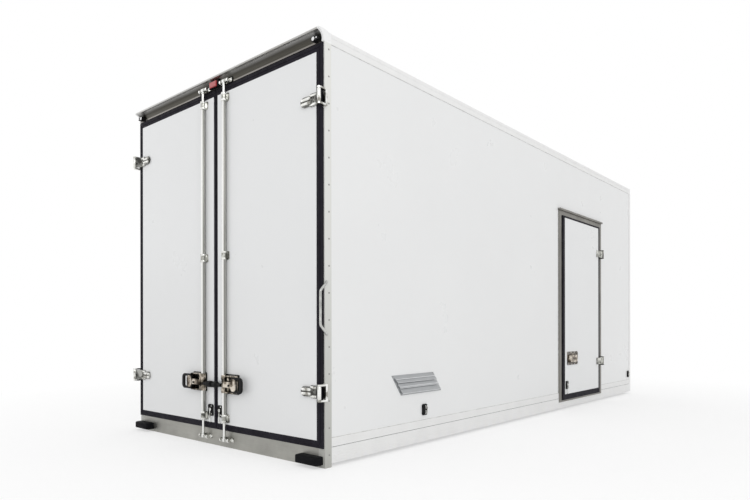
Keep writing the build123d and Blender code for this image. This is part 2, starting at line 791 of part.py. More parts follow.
def lock_case():
    """A backing plate, an open pan and a hub that the rod passes through."""
    z = (LOCK_Z - BACKING_TALL / 2, LOCK_Z + BACKING_TALL / 2)
    face = LEAF_FACE - BACKING_THICK
    backing = block((ROD_X - HUB_R, LOCK_END), (face, LEAF_FACE), z)
    z = (LOCK_Z - LOCK_TALL / 2, LOCK_Z + LOCK_TALL / 2)
    pan = block((ROD_X + HUB_R - 2, LOCK_END - 8), (face - LOCK_DEPTH, face), z)
    pan = fillet(pan.edges().filter_by(Axis.Y), LOCK_ROUND)
    inner = block(
        (ROD_X + HUB_R + LOCK_SHELL, LOCK_END - 8 - LOCK_SHELL),
        (face - LOCK_DEPTH - 1, face - LOCK_SHELL),
        (z[0] + LOCK_SHELL, z[1] - LOCK_SHELL),
    )
    pan -= chamfer(inner.edges().filter_by(Axis.Y), LOCK_ROUND - 2 * LOCK_SHELL)
    hub = rod((ROD_X, ROD_Y, z[0]), (ROD_X, ROD_Y, z[1]), 2 * HUB_R)
    sides = (ROD_X - HUB_R, ROD_X + HUB_R)
    hub += block(sides, (ROD_Y, face), z)
    hub -= block(sides, (face, 0), z)
    bore = ROD_D + 2 * ROD_FIT
    ends = ((ROD_X, ROD_Y, z[0] - BACKING_TALL), (ROD_X, ROD_Y, z[1] + BACKING_TALL))
    return backing + pan + hub - rod(*ends, bore)


def lock_handle():
    """The knob beside the rod, the lever's arm and the flat D grip at its end."""
    neck = ROD_X - HUB_R - ROD_FIT
    head = KNOB_END + KNOB_HEAD_LONG
    knob = rod((KNOB_END, KNOB_Y, KNOB_Z), (head, KNOB_Y, KNOB_Z), KNOB_HEAD_D)
    knob = chamfer(knob.faces().sort_by(Axis.X)[0].edges(), KNOB_BEVEL)
    knob += rod((head - PLATE, KNOB_Y, KNOB_Z), (neck, KNOB_Y, KNOB_Z), KNOB_NECK_D)
    rim = LEAF_FACE - BACKING_THICK - LOCK_DEPTH - ROD_FIT
    y = (rim - GRIP_THICK, rim)
    z = (LOCK_Z - GRIP_TALL / 2, LOCK_Z + GRIP_TALL / 2)
    grip = block((GRIP_START, GRIP_END), y, z)
    grip = fillet(grip.edges().filter_by(Axis.Y).sort_by(Axis.X)[-2:], GRIP_ROUND)
    grip = chamfer(grip.faces().sort_by(Axis.Y)[0].edges(), GRIP_BEVEL)
    hole_x = (GRIP_START + GRIP_ARM + GRIP_BAR, GRIP_END - GRIP_BAR)
    grip -= block(hole_x, (y[0] - 1, y[1] + 1), (z[0] + GRIP_ARM, z[1] - GRIP_ARM))
    lever_z = (LOCK_Z - LEVER_TALL / 2, LOCK_Z + LEVER_TALL / 2)
    lever = block((ROD_X + HUB_R + ROD_FIT, GRIP_START), y, lever_z)
    return [knob, lever, grip]


def door_hook(x_range, seat, x_bar):
    """A base on the door with a hook that hangs from it, ready to hold it open."""
    z = (HOOK_Z - HOOK_BASE_TALL / 2, HOOK_Z + HOOK_BASE_TALL / 2)
    base = block(x_range, (seat - HOOK_BASE_THICK, seat), z)
    base = chamfer(base.edges().filter_by(Axis.Y), HOOK_BEVEL)
    x = (x_bar - HOOK_BAR / 2, x_bar + HOOK_BAR / 2)
    front = seat - HOOK_BASE_THICK
    y = (front - HOOK_BAR, front)
    low = HOOK_Z - HOOK_DROP
    bar = block(x, y, (low, HOOK_Z + HOOK_HEAD))
    toe = block(x, (y[0], y[0] + HOOK_TOE), (low, low + HOOK_BAR))
    return base + bar + toe


def rear_door_hook():
    x = (HOOK_X - HOOK_BASE_WIDTH / 2, HOOK_X + HOOK_BASE_WIDTH / 2)
    return door_hook(x, LEAF_FACE, HOOK_X)


def wall_catch(y):
    """A socket on a side wall that takes an open door's hook."""
    span = (y - CATCH_WIDTH / 2, y + CATCH_WIDTH / 2)
    z = (HOOK_Z - CATCH_TALL / 2, HOOK_Z + CATCH_TALL / 2)
    body = block((WALL_OUT, WALL_OUT + CATCH_REACH), span, z)
    body = chamfer(body.edges().filter_by(Axis.X), CATCH_BEVEL)
    mouth = (y - CATCH_MOUTH / 2, y + CATCH_MOUTH / 2)
    x = (WALL_OUT + CATCH_BACK, WALL_OUT + CATCH_REACH + 1)
    return body - block(x, mouth, (HOOK_Z - CATCH_SILL, HOOK_Z + CATCH_TALL))


def door_catches():
    rear_y = PIN_Y + (PIN_X - HOOK_X)
    side_y = SIDE_PIN_Y + (SIDE_PIN_Y - SIDE_START - SIDE_HOOK_INSET)
    return both_sides(wall_catch(rear_y)) + [wall_catch(side_y)]


# Lamps on the header

def lamp_housings():
    """A black mount between the rods and an oblong base at each end."""
    x = (-HOUSING_WIDTH / 2, HOUSING_WIDTH / 2)
    mount = block(x, (-KEEPER_SEAT, HEADER_REACH), HOUSING_Z)
    x = (-HOUSING_MIDDLE / 2, HOUSING_MIDDLE / 2)
    mount += block(x, (-HOUSING_BACK, 0), HOUSING_Z)
    mount -= header_solid(-HALF, HALF)
    mount = mount.solids().sort_by(Axis.Y)[0]
    ends = (MARKER_X, MARKER_X + MARKER_SMALL_STEP)
    base = Plane.XZ.offset(MARKER_BACK) * (
        Pos(ends[0], MARKER_Z) * Circle(MARKER_D / 2)
        + Pos(ends[1], MARKER_Z) * Circle(MARKER_D / 2 - MARKER_RIM)
        + Pos(sum(ends) / 2, MARKER_Z) * Rectangle(MARKER_SMALL_STEP, MARKER_D - 2 * MARKER_RIM)
    )
    base = extrude(base, amount=MARKER_BACK, dir=(0, 1, 0)) - header_solid(-HALF, HALF)
    base = base.solids().sort_by(Axis.Y)[0]
    return [mount] + both_sides(base)


def stop_lamp():
    """The red lamp in the middle, a block with a bevelled rim."""
    y = -HOUSING_BACK
    z = (HOUSING_Z[0] + HOUSING_Z[1]) / 2
    lens = block(
        (-STOP_WIDTH / 2, STOP_WIDTH / 2),
        (y - STOP_THICK, y),
        (z - STOP_TALL / 2, z + STOP_TALL / 2),
    )
    return chamfer(lens.faces().sort_by(Axis.Y)[0].edges(), STOP_BEVEL)


def marker_lenses():
    """Two round clear lenses at each end, one large and one small."""
    back = -MARKER_BACK
    lenses = []
    table = ((0, MARKER_LENS_D), (MARKER_SMALL_STEP, MARKER_SMALL_D))
    for step, diameter in table:
        x = MARKER_X + step
        lens = rod((x, back, MARKER_Z), (x, back - MARKER_LENS_THICK, MARKER_Z), diameter)
        if diameter > 4 * MARKER_LENS_BEVEL:
            rim = lens.faces().sort_by(Axis.Y)[0].edges()
            lens = chamfer(rim, MARKER_LENS_BEVEL)
        lenses += both_sides(lens)
    return lenses


# Side door

def side_door_frame():
    """A face flange round the doorway, a liner through the wall and a gutter above."""
    y = (SIDE_START - SIDE_JAMB, SIDE_END + SIDE_JAMB)
    z = (SIDE_BOTTOM - SIDE_SILL, SIDE_TOP + SIDE_HEAD)
    flange = block((WALL_OUT, FRAME_FACE), y, z)
    liner = side_opening(LEAF_GAP + SIDE_LINER, (WALL_IN, WALL_OUT))
    frame = flange + liner - side_opening(LEAF_GAP, (WALL_IN - 1, FRAME_FACE + 1))
    over = (y[0] - GUTTER_OVER, y[1] + GUTTER_OVER)
    lip = WALL_OUT + GUTTER_REACH
    section = [
        (WALL_OUT, z[1]),
        (lip, z[1]),
        (lip, z[1] + GUTTER_TALL),
        (lip - GUTTER_WALL, z[1] + GUTTER_TALL),
        (lip - GUTTER_WALL, z[1] + GUTTER_WALL),
        (WALL_OUT + GUTTER_WALL, z[1] + GUTTER_WALL),
        (WALL_OUT + GUTTER_WALL, z[1] + GUTTER_TALL),
        (WALL_OUT, z[1] + GUTTER_TALL),
    ]
    return frame + along_y(section, *over)


def side_leaf():
    x = (SIDE_FACE - LEAF_THICK, SIDE_FACE)
    leaf = side_opening(0, x)
    return chamfer(leaf.faces().sort_by(Axis.X)[-1].edges(), LEAF_BEVEL)


def side_seal():
    """The side door's rubber frame: a fin over its frame and a bulb inside it."""
    leaf = side_opening(0, (SIDE_FACE - LEAF_THICK - 1, SIDE_FACE + 1))
    x = (FRAME_FACE + FIN_SEAT, FRAME_FACE + SIDE_FIN_PROUD)
    y = (SIDE_START - SIDE_FIN, SIDE_END + SIDE_FIN)
    fin = block(x, y, (SIDE_BOTTOM - SIDE_FIN_BOTTOM, SIDE_TOP + SIDE_FIN_TOP))
    fin = chamfer(fin.faces().sort_by(Axis.X)[-1].edges(), LEAF_BEVEL)
    bulb = side_opening(LEAF_GAP - BULB_GAP, (FRAME_FACE - BULB_DEPTH, x[0]))
    return fin + bulb - leaf


def side_strap(z):
    """A knuckle and a stepped strap on the side door's front edge."""
    z_pair = (z - SIDE_STRAP_TALL / 2, z + SIDE_STRAP_TALL / 2)
    middle = SIDE_FACE + STRAP_THICK / 2
    start = Vector(middle, SIDE_END - SIDE_STRAP_LONG)
    pin = Vector(SIDE_PIN_X, SIDE_PIN_Y)
    strip = bent_strip(start, Vector(middle, SIDE_END), pin, STRAP_THICK)
    strap = along_z(strip, *z_pair)
    axis = (SIDE_PIN_X, SIDE_PIN_Y)
    strap += rod((*axis, z_pair[0]), (*axis, z_pair[1]), SIDE_KNUCKLE_D)
    return strap - rod((*axis, z_pair[0] - 1), (*axis, z_pair[1] + 1), PIN_D + 2 * PIN_FIT)


def side_hinge_bracket(z):
    """Two ears and a base on the side door's frame, with the pin between them."""
    reach = SIDE_STRAP_TALL / 2 + EAR_GAP + EAR_THICK
    y = (SIDE_PIN_Y - EAR_WIDTH / 2, SIDE_PIN_Y + EAR_WIDTH / 2)
    bracket = block((FRAME_FACE, FRAME_FACE + BRACKET_BASE), y, (z - reach, z + reach))
    outline = ear_outline(SIDE_PIN_X - FRAME_FACE + EAR_WIDTH / 2)
    points = [(FRAME_FACE + along, SIDE_PIN_Y + across) for along, across in outline]
    for low in (z - reach, z + reach - EAR_THICK):
        bracket += along_z(points, low, low + EAR_THICK)
    axis = (SIDE_PIN_X, SIDE_PIN_Y)
    ends = (z - reach + EAR_THICK / 2, z + reach - EAR_THICK / 2)
    return bracket + rod((*axis, ends[0]), (*axis, ends[1]), PIN_D)


def side_lock():
    """A plate on the side door with a raised paddle."""
    y = (SIDE_START + SIDE_LOCK_START, SIDE_START + SIDE_LOCK_START + SIDE_LOCK_WIDTH)
    z = (SIDE_LOCK_Z - SIDE_LOCK_TALL / 2, SIDE_LOCK_Z + SIDE_LOCK_TALL / 2)
    plate = block((SIDE_FACE, SIDE_FACE + SIDE_LOCK_THICK), y, z)
    plate = fillet(plate.edges().filter_by(Axis.X), SIDE_LOCK_ROUND)
    paddle = block(
        (SIDE_FACE + SIDE_LOCK_THICK, SIDE_FACE + SIDE_LOCK_THICK + PADDLE_DEPTH),
        (y[0] + PADDLE_INSET, y[1] - PADDLE_INSET),
        (z[0] + PADDLE_INSET, z[1] - PADDLE_INSET),
    )
    return plate + fillet(paddle.faces().sort_by(Axis.X)[-1].edges(), PADDLE_ROUND)


def side_door_hook():
    """The side door's hook, the rear door's one turned to face the side."""
    y = SIDE_START + SIDE_HOOK_INSET
    half = HOOK_BASE_WIDTH / 2
    hook = door_hook((-half, half), 0.0, 0.0)
    return Pos(SIDE_FACE, y, 0) * Rot(0, 0, 90) * hook


# Vent

def vent_outline(inset):
    """The leaning outline as (y, z), set in by a margin."""
    lean = VENT_LEAN / (VENT_Z[1] - VENT_Z[0])
    low = VENT_Z[0] + inset
    high = VENT_Z[1] - inset
    start_high = VENT_START + lean * inset + inset
    start_low = VENT_START + VENT_LEAN - lean * inset + inset
    span = VENT_LENGTH - 2 * inset
    return [
        (start_high, high),
        (start_high + span, high),
        (start_low + span, low),
        (start_low, low),
    ]


def vent_louvre():
    """A rimmed plate with sloping slats that stand out over each other."""
    plate = along_x(vent_outline(0), WALL_OUT, WALL_OUT + VENT_PLATE)
    inner = vent_outline(VENT_BORDER)
    top = inner[0][1]
    pitch = (top - inner[3][1]) / VENT_SLATS
    lean = VENT_LEAN / (VENT_Z[1] - VENT_Z[0])
    face = WALL_OUT + VENT_PLATE
    for i in range(VENT_SLATS):
        high = top - pitch * i
        low = high - pitch + VENT_SLAT_GAP
        y0 = inner[0][0] + lean * (top - high)
        length = inner[1][0] - inner[0][0]
        lip = face + VENT_SLAT_REACH
        slope = [(face, high), (lip, low + VENT_SLAT_EDGE), (lip, low), (face, low)]
        slat = along_y(slope, y0 - VENT_LEAN, y0 + length + VENT_LEAN)
        trim = along_x(inner, face - 1, face + VENT_SLAT_REACH + 1)
        plate += slat & trim
    return plate


def right_door():
    return {
        "panel": [door_leaf()],
        "seal": [door_seal()],
        "lock_rod": [lock_rod()],
        "rod_guides": [rod_guide(z) for z in GUIDE_Z],
        "lock_case": [lock_case()],
        "lock_handle": lock_handle(),
        "hinge_straps": [hinge_strap(z) for z in REAR_HINGE_Z],
        "hold_hook": [rear_door_hook()],
    }


def all_nodes():
    """Every node's solids by the node's name."""
    nodes = {
        "floor_panel": [floor_panel()],
        "roof_panel": [roof_panel()],
        "left_wall": [left_wall()],
        "right_wall": [right_wall()],
        "front_wall": [front_wall()],
        "bottom_rails": bottom_rails(),
        "roof_rails": both_sides(roof_rail()),
        "front_corner_posts": both_sides(front_corner_post()),
        "front_rails": front_rails(),
        "front_corner_caps": both_sides(front_corner_cap()),
        "rear_posts": both_sides(rear_post()),
        "rear_header": [rear_header()],
        "rear_corner_caps": both_sides(rear_corner_cap()),
        "rear_sill": [rear_sill()],
        "dock_bumpers": both_sides(dock_bumper()),
        "grab_handle": [grab_handle()],
        "runners": both_sides(runner()),
        "cross_members": cross_members(),
        "mounting_brackets": mounting_brackets(),
        "cam_keepers": cam_keepers(),
        "rear_hinge_brackets": [],
        "door_catches": door_catches(),
        "lamp_housings": lamp_housings(),
        "stop_lamp": [stop_lamp()],
        "marker_lenses": marker_lenses(),
        "vent_louvre": [vent_louvre()],
        "side_door_frame": [side_door_frame()],
        "side_hinge_brackets": [side_hinge_bracket(z) for z in SIDE_HINGE_Z],
        "side_door_panel": [side_leaf()],
        "side_door_seal": [side_seal()],
        "side_door_lock": [side_lock()],
        "side_door_hinge_straps": [side_strap(z) for z in SIDE_HINGE_Z],
        "side_door_hold_hook": [side_door_hook()],
    }
    for z in REAR_HINGE_Z:
        nodes["rear_hinge_brackets"] += both_sides(hinge_bracket(z))
    for name, solids in right_door().items():
        pairs = [both_sides(solid) for solid in solids]
        nodes["right_door_" + name] = [pair[0] for pair in pairs]
        nodes["left_door_" + name] = [pair[1] for pair in pairs]
    return nodes


os.makedirs("parts", exist_ok=True)
for node, solids in all_nodes().items():
    placed = [solid.moved(Location((0, -Y_MIDDLE, 0))) for solid in solids]
    shape = placed[0] if len(placed) == 1 else Compound(children=placed)
    export_step(shape, f"parts/{node}.step")
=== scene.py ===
import json
import math

import bpy
import numpy as np
from mathutils import Matrix, Vector


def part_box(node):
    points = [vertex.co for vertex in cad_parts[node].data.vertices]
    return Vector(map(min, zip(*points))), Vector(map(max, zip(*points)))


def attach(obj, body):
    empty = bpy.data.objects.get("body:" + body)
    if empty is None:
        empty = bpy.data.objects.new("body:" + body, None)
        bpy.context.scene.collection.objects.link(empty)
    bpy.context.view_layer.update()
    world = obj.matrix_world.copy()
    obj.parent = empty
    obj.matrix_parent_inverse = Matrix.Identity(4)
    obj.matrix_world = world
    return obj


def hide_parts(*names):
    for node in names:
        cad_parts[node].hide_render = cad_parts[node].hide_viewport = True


# The looks of an insulated truck box body, in the frame's own axes: X to the right, Y
# forward, Z up, the rear doors towards -Y. Places and bars are in metres. The outlines
# and profiles of pressed and turned forms are in millimetres.

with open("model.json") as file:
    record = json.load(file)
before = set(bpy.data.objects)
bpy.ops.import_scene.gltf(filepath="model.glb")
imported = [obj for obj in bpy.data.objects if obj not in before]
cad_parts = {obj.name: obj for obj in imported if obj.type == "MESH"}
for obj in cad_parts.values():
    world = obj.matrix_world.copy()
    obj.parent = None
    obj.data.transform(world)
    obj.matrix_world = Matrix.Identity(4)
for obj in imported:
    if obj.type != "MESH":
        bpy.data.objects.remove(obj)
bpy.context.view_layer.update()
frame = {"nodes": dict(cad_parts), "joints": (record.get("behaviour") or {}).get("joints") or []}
NODES = frame["nodes"]
SIDES = (("right", 1), ("left", -1))
MM = 0.001
SIDEWAYS = (1, 0, 0)
UP = np.array([0.0, 0.0, 1.0])
REARWARD = np.array([0.0, -1.0, 0.0])


def box(node):
    """A node's lowest and highest corners as arrays."""
    low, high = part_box(node)
    return np.array(low), np.array(high)


# Places read from the frame
POSTS = box("rear_posts")
HEADER = box("rear_header")
SIDE_LEAF = box("side_door_panel")
SIDE_FRAME = box("side_door_frame")
BOTTOM_RAIL = box("bottom_rails")
ROOF_RAIL = box("roof_rails")
HINGES = {joint["child"]: np.array(joint["pos_m"]) for joint in frame["joints"]}
HALF = POSTS[1][0]
REAR_SEAT = POSTS[0][1]
DOOR_FACE = box("right_door_panel")[0][1]
WALL_FACE = box("right_wall")[1][0]
SIDE_FACE = SIDE_LEAF[1][0]
ROD_X, ROD_Y = (sum(box("right_door_lock_rod")) / 2)[:2]
LOCK_Z = (sum(box("right_door_lock_case")) / 2)[2]
HOOK_Z = box("right_door_hold_hook")[1][2] - 0.045

# Places of the trim
RAIL_JOINT = 0.132
LOCK_BACKING = 0.006
GRIP_THICK = 0.012
GRIP_START = 0.262
GRIP_BACK = DOOR_FACE - LOCK_BACKING - 0.034 - 0.0003 - GRIP_THICK
HUB_HALF = 0.0243
HINGE_PLATE_X = 1.0506
HINGE_STRAP_X = 1.119
VENT_LEAN = 0.112 / 0.155
VENT_LENGTH = 0.524
VENT_BORDER = 0.014


# Surfaces

def across(direction):
    """Two unit vectors that stand square to a direction and to each other."""
    first = np.cross(UP, direction)
    if np.linalg.norm(first) < 0.1:
        first = np.array([1.0, 0.0, 0.0])
    first /= np.linalg.norm(first)
    return first, np.cross(direction, first)


def skin(rings, closed=False):
    """A shell over rings of points: quads from each ring to the next.

    The open ends get one face each, or with closed=True the last ring joins the first.
    """
    count, around = rings.shape[:2]
    here = np.arange(around)
    after = (here + 1) % around
    rows = np.arange(count if closed else count - 1)[:, None]
    low = rows * around
    high = (rows + 1) % count * around
    quads = np.stack([low + here, low + after, high + after, high + here], axis=-1)
    faces = quads.reshape(-1, 4).tolist()
    if not closed:
        faces.append(here[::-1].tolist())
        faces.append(((count - 1) * around + here).tolist())
    points = rings.reshape(-1, 3)
    return points, outward(points, faces)


def outward(points, faces):
    """The faces turned so that the shell's volume, summed over its fans, is positive."""
    fans = [(f[0], f[i], f[i + 1]) for f in faces for i in range(1, len(f) - 1)]
    a, b, c = points[np.array(fans).T]
    inside = np.einsum("ij,ij->", np.cross(a, b), c) < 0
    return [f[::-1] for f in faces] if inside else faces


def rounded(half_u, half_v, radius, steps=6):
    """A round-cornered rectangle: each corner's centre plus the radius at an angle.

    The three sizes may be arrays, and then there is one outline for each of them.
    """
    angle = np.linspace(0, np.pi / 2, steps + 1)
    quarter = np.arange(4)[:, None]
    turn = (angle + quarter * np.pi / 2).reshape(-1)
    sign_u = np.repeat([1, -1, -1, 1], steps + 1)
    sign_v = np.repeat([1, 1, -1, -1], steps + 1)
    sizes = (half_u, half_v, radius)
    half_u, half_v, radius = (np.asarray(size, float)[..., None] for size in sizes)
    u = sign_u * (half_u - radius) + radius * np.cos(turn)
    v = sign_v * (half_v - radius) + radius * np.sin(turn)
    return np.stack([u, v], axis=-1)


def pressed(place, u_axis, v_axis, half, levels, at=(0, 0), steps=6, closed=False):
    """A form pressed or moulded off a face: round-cornered outlines one over another.

    A level is (inset, radius, height), or has an inset for each axis. Its outline has
    the half sizes less the inset. A point is the place, plus its outline along the two
    axes, moved by at, plus its height along their cross product.
    """
    rows = [row if len(row) == 4 else (row[0], *row) for row in levels]
    inset_u, inset_v, radius, height = np.array(rows, float).T * MM
    outline = rounded(half[0] * MM - inset_u, half[1] * MM - inset_v, radius, steps)
    outline = outline + np.reshape(at, (-1, 1, 2)) * MM
    rings = (
        np.asarray(place)
        + outline[..., :1] * np.asarray(u_axis)
        + outline[..., 1:] * np.asarray(v_axis)
        + height[:, None, None] * np.cross(u_axis, v_axis)
    )
    return skin(rings, closed)


def turned(place, axis, profile, around=32):
    """A form turned about an axis: each (radius, height) of the profile is a circle."""
    axis = np.asarray(axis, float)
    first, second = across(axis)
    radius, height = np.array(profile, float).T * MM
    angle = np.linspace(0, 2 * np.pi, around, endpoint=False)[:, None]
    circle = np.cos(angle) * first + np.sin(angle) * second
    rings = np.asarray(place) + radius[:, None, None] * circle + height[:, None, None] * axis
    return skin(rings)


def carried(section, path, side):
    """A section carried along a flat path: a point is the path's point, plus the
    section's first value along side and its second along the path's own normal."""
    path = np.asarray(path, float)
    ahead = np.gradient(path, axis=0)
    ahead /= np.linalg.norm(ahead, axis=1, keepdims=True)
    side = np.asarray(side, float)
    normal = np.cross(ahead, side)
    section = section[None]
    return skin(path[:, None] + section[..., :1] * side + section[..., 1:] * normal[:, None])


def bar(radius, path, side, around=8):
    """A round bar along a path."""
    return carried(round_section(radius, around), path, side)


def backed(shell, back):
    """A shell whose rear points are held at a face's Y, so that it sits on that face."""
    points, faces = shell
    points = points.copy()
    points[:, 1] = np.minimum(points[:, 1], back)
    return points, faces


def ring(place, axis, radius, thick, around=28):
    """A ring: a round section of a thickness carried along a circle."""
    first, second = across(axis)
    angle = np.linspace(0, 2 * np.pi, around, endpoint=False)[:, None]
    spoke = np.cos(angle) * first + np.sin(angle) * second
    section = round_section(thick, 10)
    rings = (
        np.asarray(place)
        + (radius + section[None, :, :1]) * spoke[:, None]
        + section[None, :, 1:] * np.asarray(axis, float)
    )
    return skin(rings, True)


def round_section(radius, around):
    angle = np.linspace(0, 2 * np.pi, around, endpoint=False)
    return radius * np.stack([np.cos(angle), np.sin(angle)], axis=-1)


def bent(points, radius, steps=8):
    """A path of straight runs joined by arcs of one radius, tangent to both runs."""
    points = [np.asarray(p, float) for p in points]
    path = [points[0]]
    for before, corner, after in zip(points, points[1:], points[2:]):
        back = (before - corner) / np.linalg.norm(before - corner)
        on = (after - corner) / np.linalg.norm(after - corner)
        half = math.acos(np.clip(back @ on, -1, 1)) / 2
        middle = (back + on) / np.linalg.norm(back + on)
        centre = corner + middle * radius / math.sin(half)
        start = corner + back * radius / math.tan(half)
        spoke = start - centre
        normal = np.cross(np.cross(back, on), spoke)
        normal *= -radius / np.linalg.norm(normal)
        angle = np.linspace(0, np.pi - 2 * half, steps)[:, None]
        arc = centre + spoke * np.cos(angle) + normal * np.sin(angle)
        if np.linalg.norm(arc[-1] - corner - on * radius / math.tan(half)) > 1e-4:
            arc = centre + spoke * np.cos(angle) - normal * np.sin(angle)
        path.extend(arc)
    path.append(points[-1])
    return np.array(path)


def piece(name, shells, material, body, replaces=()):
    """One object from several shells, which rides on a body and stands at the origin."""
    points = np.concatenate([s[0] for s in shells])
    starts = np.cumsum([0] + [len(s[0]) for s in shells])
    faces = [[i + start for i in f] for s, start in zip(shells, starts) for f in s[1]]
    mesh = bpy.data.meshes.new(name)
    mesh.from_pydata(points.tolist(), [], faces)
    mesh.polygons.foreach_set("use_smooth", np.ones(len(faces), bool))
    mesh.set_sharp_from_angle(angle=math.radians(38))
    mesh.materials.append(material)
    made = bpy.data.objects.new(name, mesh)
    bpy.context.scene.collection.objects.link(made)
    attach(made, body)
    if replaces:
        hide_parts(*replaces)


# Finishes

def add(tree, kind, links=(), values=(), **settings):
    """A new node with its settings, its sockets' values and the sockets led to it."""
    node = tree.nodes.new("ShaderNode" + kind)
    for name, value in settings.items():
        setattr(node, name, value)
    for socket, value in dict(values).items():
        node.inputs[socket].default_value = value
    for socket, source in dict(links).items():
        tree.links.new(source, node.inputs[socket])
    return node


def finish(name, colour, roughness, metallic=0.0, coat=0.0, specular=0.5):
    """A material with its plain values, and the parts that its patterns join."""
    material = bpy.data.materials.new(name)
    material.use_nodes = True
    material.diffuse_color = (*colour, 1)
    shader = material.node_tree.nodes["Principled BSDF"]
    values = {
        "Base Color": (*colour, 1),
        "Roughness": roughness,
        "Metallic": metallic,
        "Coat Weight": coat,
        "Coat Roughness": 0.12,
        "Specular IOR Level": specular,
    }
    for socket, value in values.items():
        shader.inputs[socket].default_value = value
    return material, material.node_tree, shader


def coordinates(tree):
    return tree.nodes.new("ShaderNodeTexCoord").outputs["Object"]


def pattern(tree, scale, stretch=(1, 1, 1), detail=4.0, rough=0.5):
    """A noise over the object's own coordinates, stretched along its axes."""
    mapping = add(tree, "Mapping", {"Vector": coordinates(tree)}, {"Scale": stretch})
    values = {"Scale": scale, "Detail": detail, "Roughness": rough}
    return add(tree, "TexNoise", {"Vector": mapping.outputs["Vector"]}, values).outputs[0]


def cells(tree, scale):
    """The distance to the nearest of scattered points, in the object's coordinates."""
    return add(tree, "TexVoronoi", {"Vector": coordinates(tree)}, {"Scale": scale}).outputs[0]


def ramp(tree, value, stops, socket=None):
    """A colour ramp over a value, led to a socket. A stop is (place, colour)."""
    node = add(tree, "ValToRGB", {0: value})
    band = node.color_ramp
    while len(band.elements) < len(stops):
        band.elements.new(0.5)
    for element, (place, colour) in zip(band.elements, stops):
        element.position = place
        element.color = (*colour, 1)
    if socket is not None:
        tree.links.new(node.outputs[0], socket)
    return node.outputs[0]


def tone(tree, shader, value, colour, *stops):
    """The base colour from a value. A stop is (place, factor of the colour)."""
    stops = [(place, shade(colour, factor)) for place, factor in stops]
    ramp(tree, value, stops, shader.inputs["Base Color"])


def shade(colour, factor):
    return tuple(min(1.0, c * factor) for c in colour)


def haze(tree, shader, value, low, high):
    """The roughness: a value's middle range mapped onto low to high."""
    values = {"From Min": 0.3, "From Max": 0.7, "To Min": low, "To Max": high}
    node = add(tree, "MapRange", {"Value": value}, values)
    tree.links.new(node.outputs[0], shader.inputs["Roughness"])


def relief(tree, shader, value, depth, strength):
    """A bump of a real depth."""
    node = add(tree, "Bump", {"Height": value}, {"Strength": strength, "Distance": depth})
    tree.links.new(node.outputs[0], shader.inputs["Normal"])


def gel_coat(name, colour):
    """Glossy laminate: slow changes of tone and a fine orange peel."""
    material, tree, shader = finish(name, colour, 0.30, coat=0.08)
    tone(tree, shader, pattern(tree, 0.9), colour, (0.3, 0.985), (0.7, 1.005))
    haze(tree, shader, pattern(tree, 3.0, detail=5), 0.27, 0.35)
    relief(tree, shader, pattern(tree, 60.0, detail=2), 0.00003, 0.12)
    return material


def powder_coat(name, colour, dirt=0.94):
    """Baked paint: a fine pebbled skin, with a faint greying in patches."""
    material, tree, shader = finish(name, colour, 0.38)
    patches = pattern(tree, 5.0, (1, 1, 0.35), detail=6, rough=0.6)
    tone(tree, shader, patches, colour, (0.32, dirt), (0.62, 1))
    haze(tree, shader, pattern(tree, 14.0), 0.32, 0.46)
    relief(tree, shader, pattern(tree, 900.0, detail=2), 0.00003, 0.5)
    return material


def brushed(name, colour, stretch, roughness=0.32, mottle=0.8, size=4.0):
    """Steel rubbed one way: hair lines along one axis over broad cloudy reflections."""
    material, tree, shader = finish(name, colour, roughness, metallic=1.0)
    cloud = pattern(tree, size, detail=5, rough=0.6)
    tone(tree, shader, cloud, colour, (0.3, mottle), (0.7, 1.08))
    hair_lines(tree, shader, 300.0, stretch, roughness * 0.75, roughness * 1.3)
    return material


def hair_lines(tree, shader, scale, stretch, low, high):
    """Fine lines along one axis, in the roughness and in relief."""
    hair = pattern(tree, scale, stretch, detail=3)
    haze(tree, shader, hair, low, high)
    relief(tree, shader, hair, 0.00003, 0.5)


def polished(name, dark, middle, light, size):
    """Bright pressed steel: hard-edged dark and light streaks of painted reflection,
    the workshop's surroundings mirrored in it, over a fine haze."""
    material, tree, shader = finish(name, middle, 0.2, metallic=1.0)
    # Painted reflection: the streaks in the base colour stand for mirrored surroundings.
    painted_reflection = pattern(tree, size, detail=2, rough=0.4)
    stops = ((0.38, dark), (0.45, middle), (0.53, middle), (0.60, light))
    ramp(tree, painted_reflection, stops, shader.inputs["Base Color"])
    haze(tree, shader, pattern(tree, 90.0), 0.14, 0.30)
    relief(tree, shader, pattern(tree, 350.0, detail=2), 0.00002, 0.4)
    return material


def tube_painted_light(name):
    """Satin tube: a pale band of painted highlight down its middle between greyer
    flanks of painted shade, with hair lines.

    The tone goes with the distance from the rod's axis in X, over its radius.
    """
    material, tree, shader = finish(name, (0.6, 0.6, 0.58), 0.3, metallic=1.0)
    value = add(tree, "SeparateXYZ", {0: coordinates(tree)}).outputs[0]
    for operation, number in (
        ("ABSOLUTE", 0), ("SUBTRACT", ROD_X), ("ABSOLUTE", 0), ("DIVIDE", 0.017)
    ):
        value = add(tree, "Math", {0: value}, {1: number}, operation=operation).outputs[0]
    # Painted light: a highlight down the middle, shade on the flanks and a dark line near each
    # edge for the shadow between rod and door.
    shaded_flank = (0.50, 0.50, 0.47)
    stops = ((0.45, (0.88, 0.88, 0.86)), (0.72, shaded_flank), (0.90, (0.13, 0.13, 0.12)), (1, shaded_flank))
    ramp(tree, value, stops, shader.inputs["Base Color"])
    hair_lines(tree, shader, 300.0, (1, 1, 0.01), 0.22, 0.38)
    return material


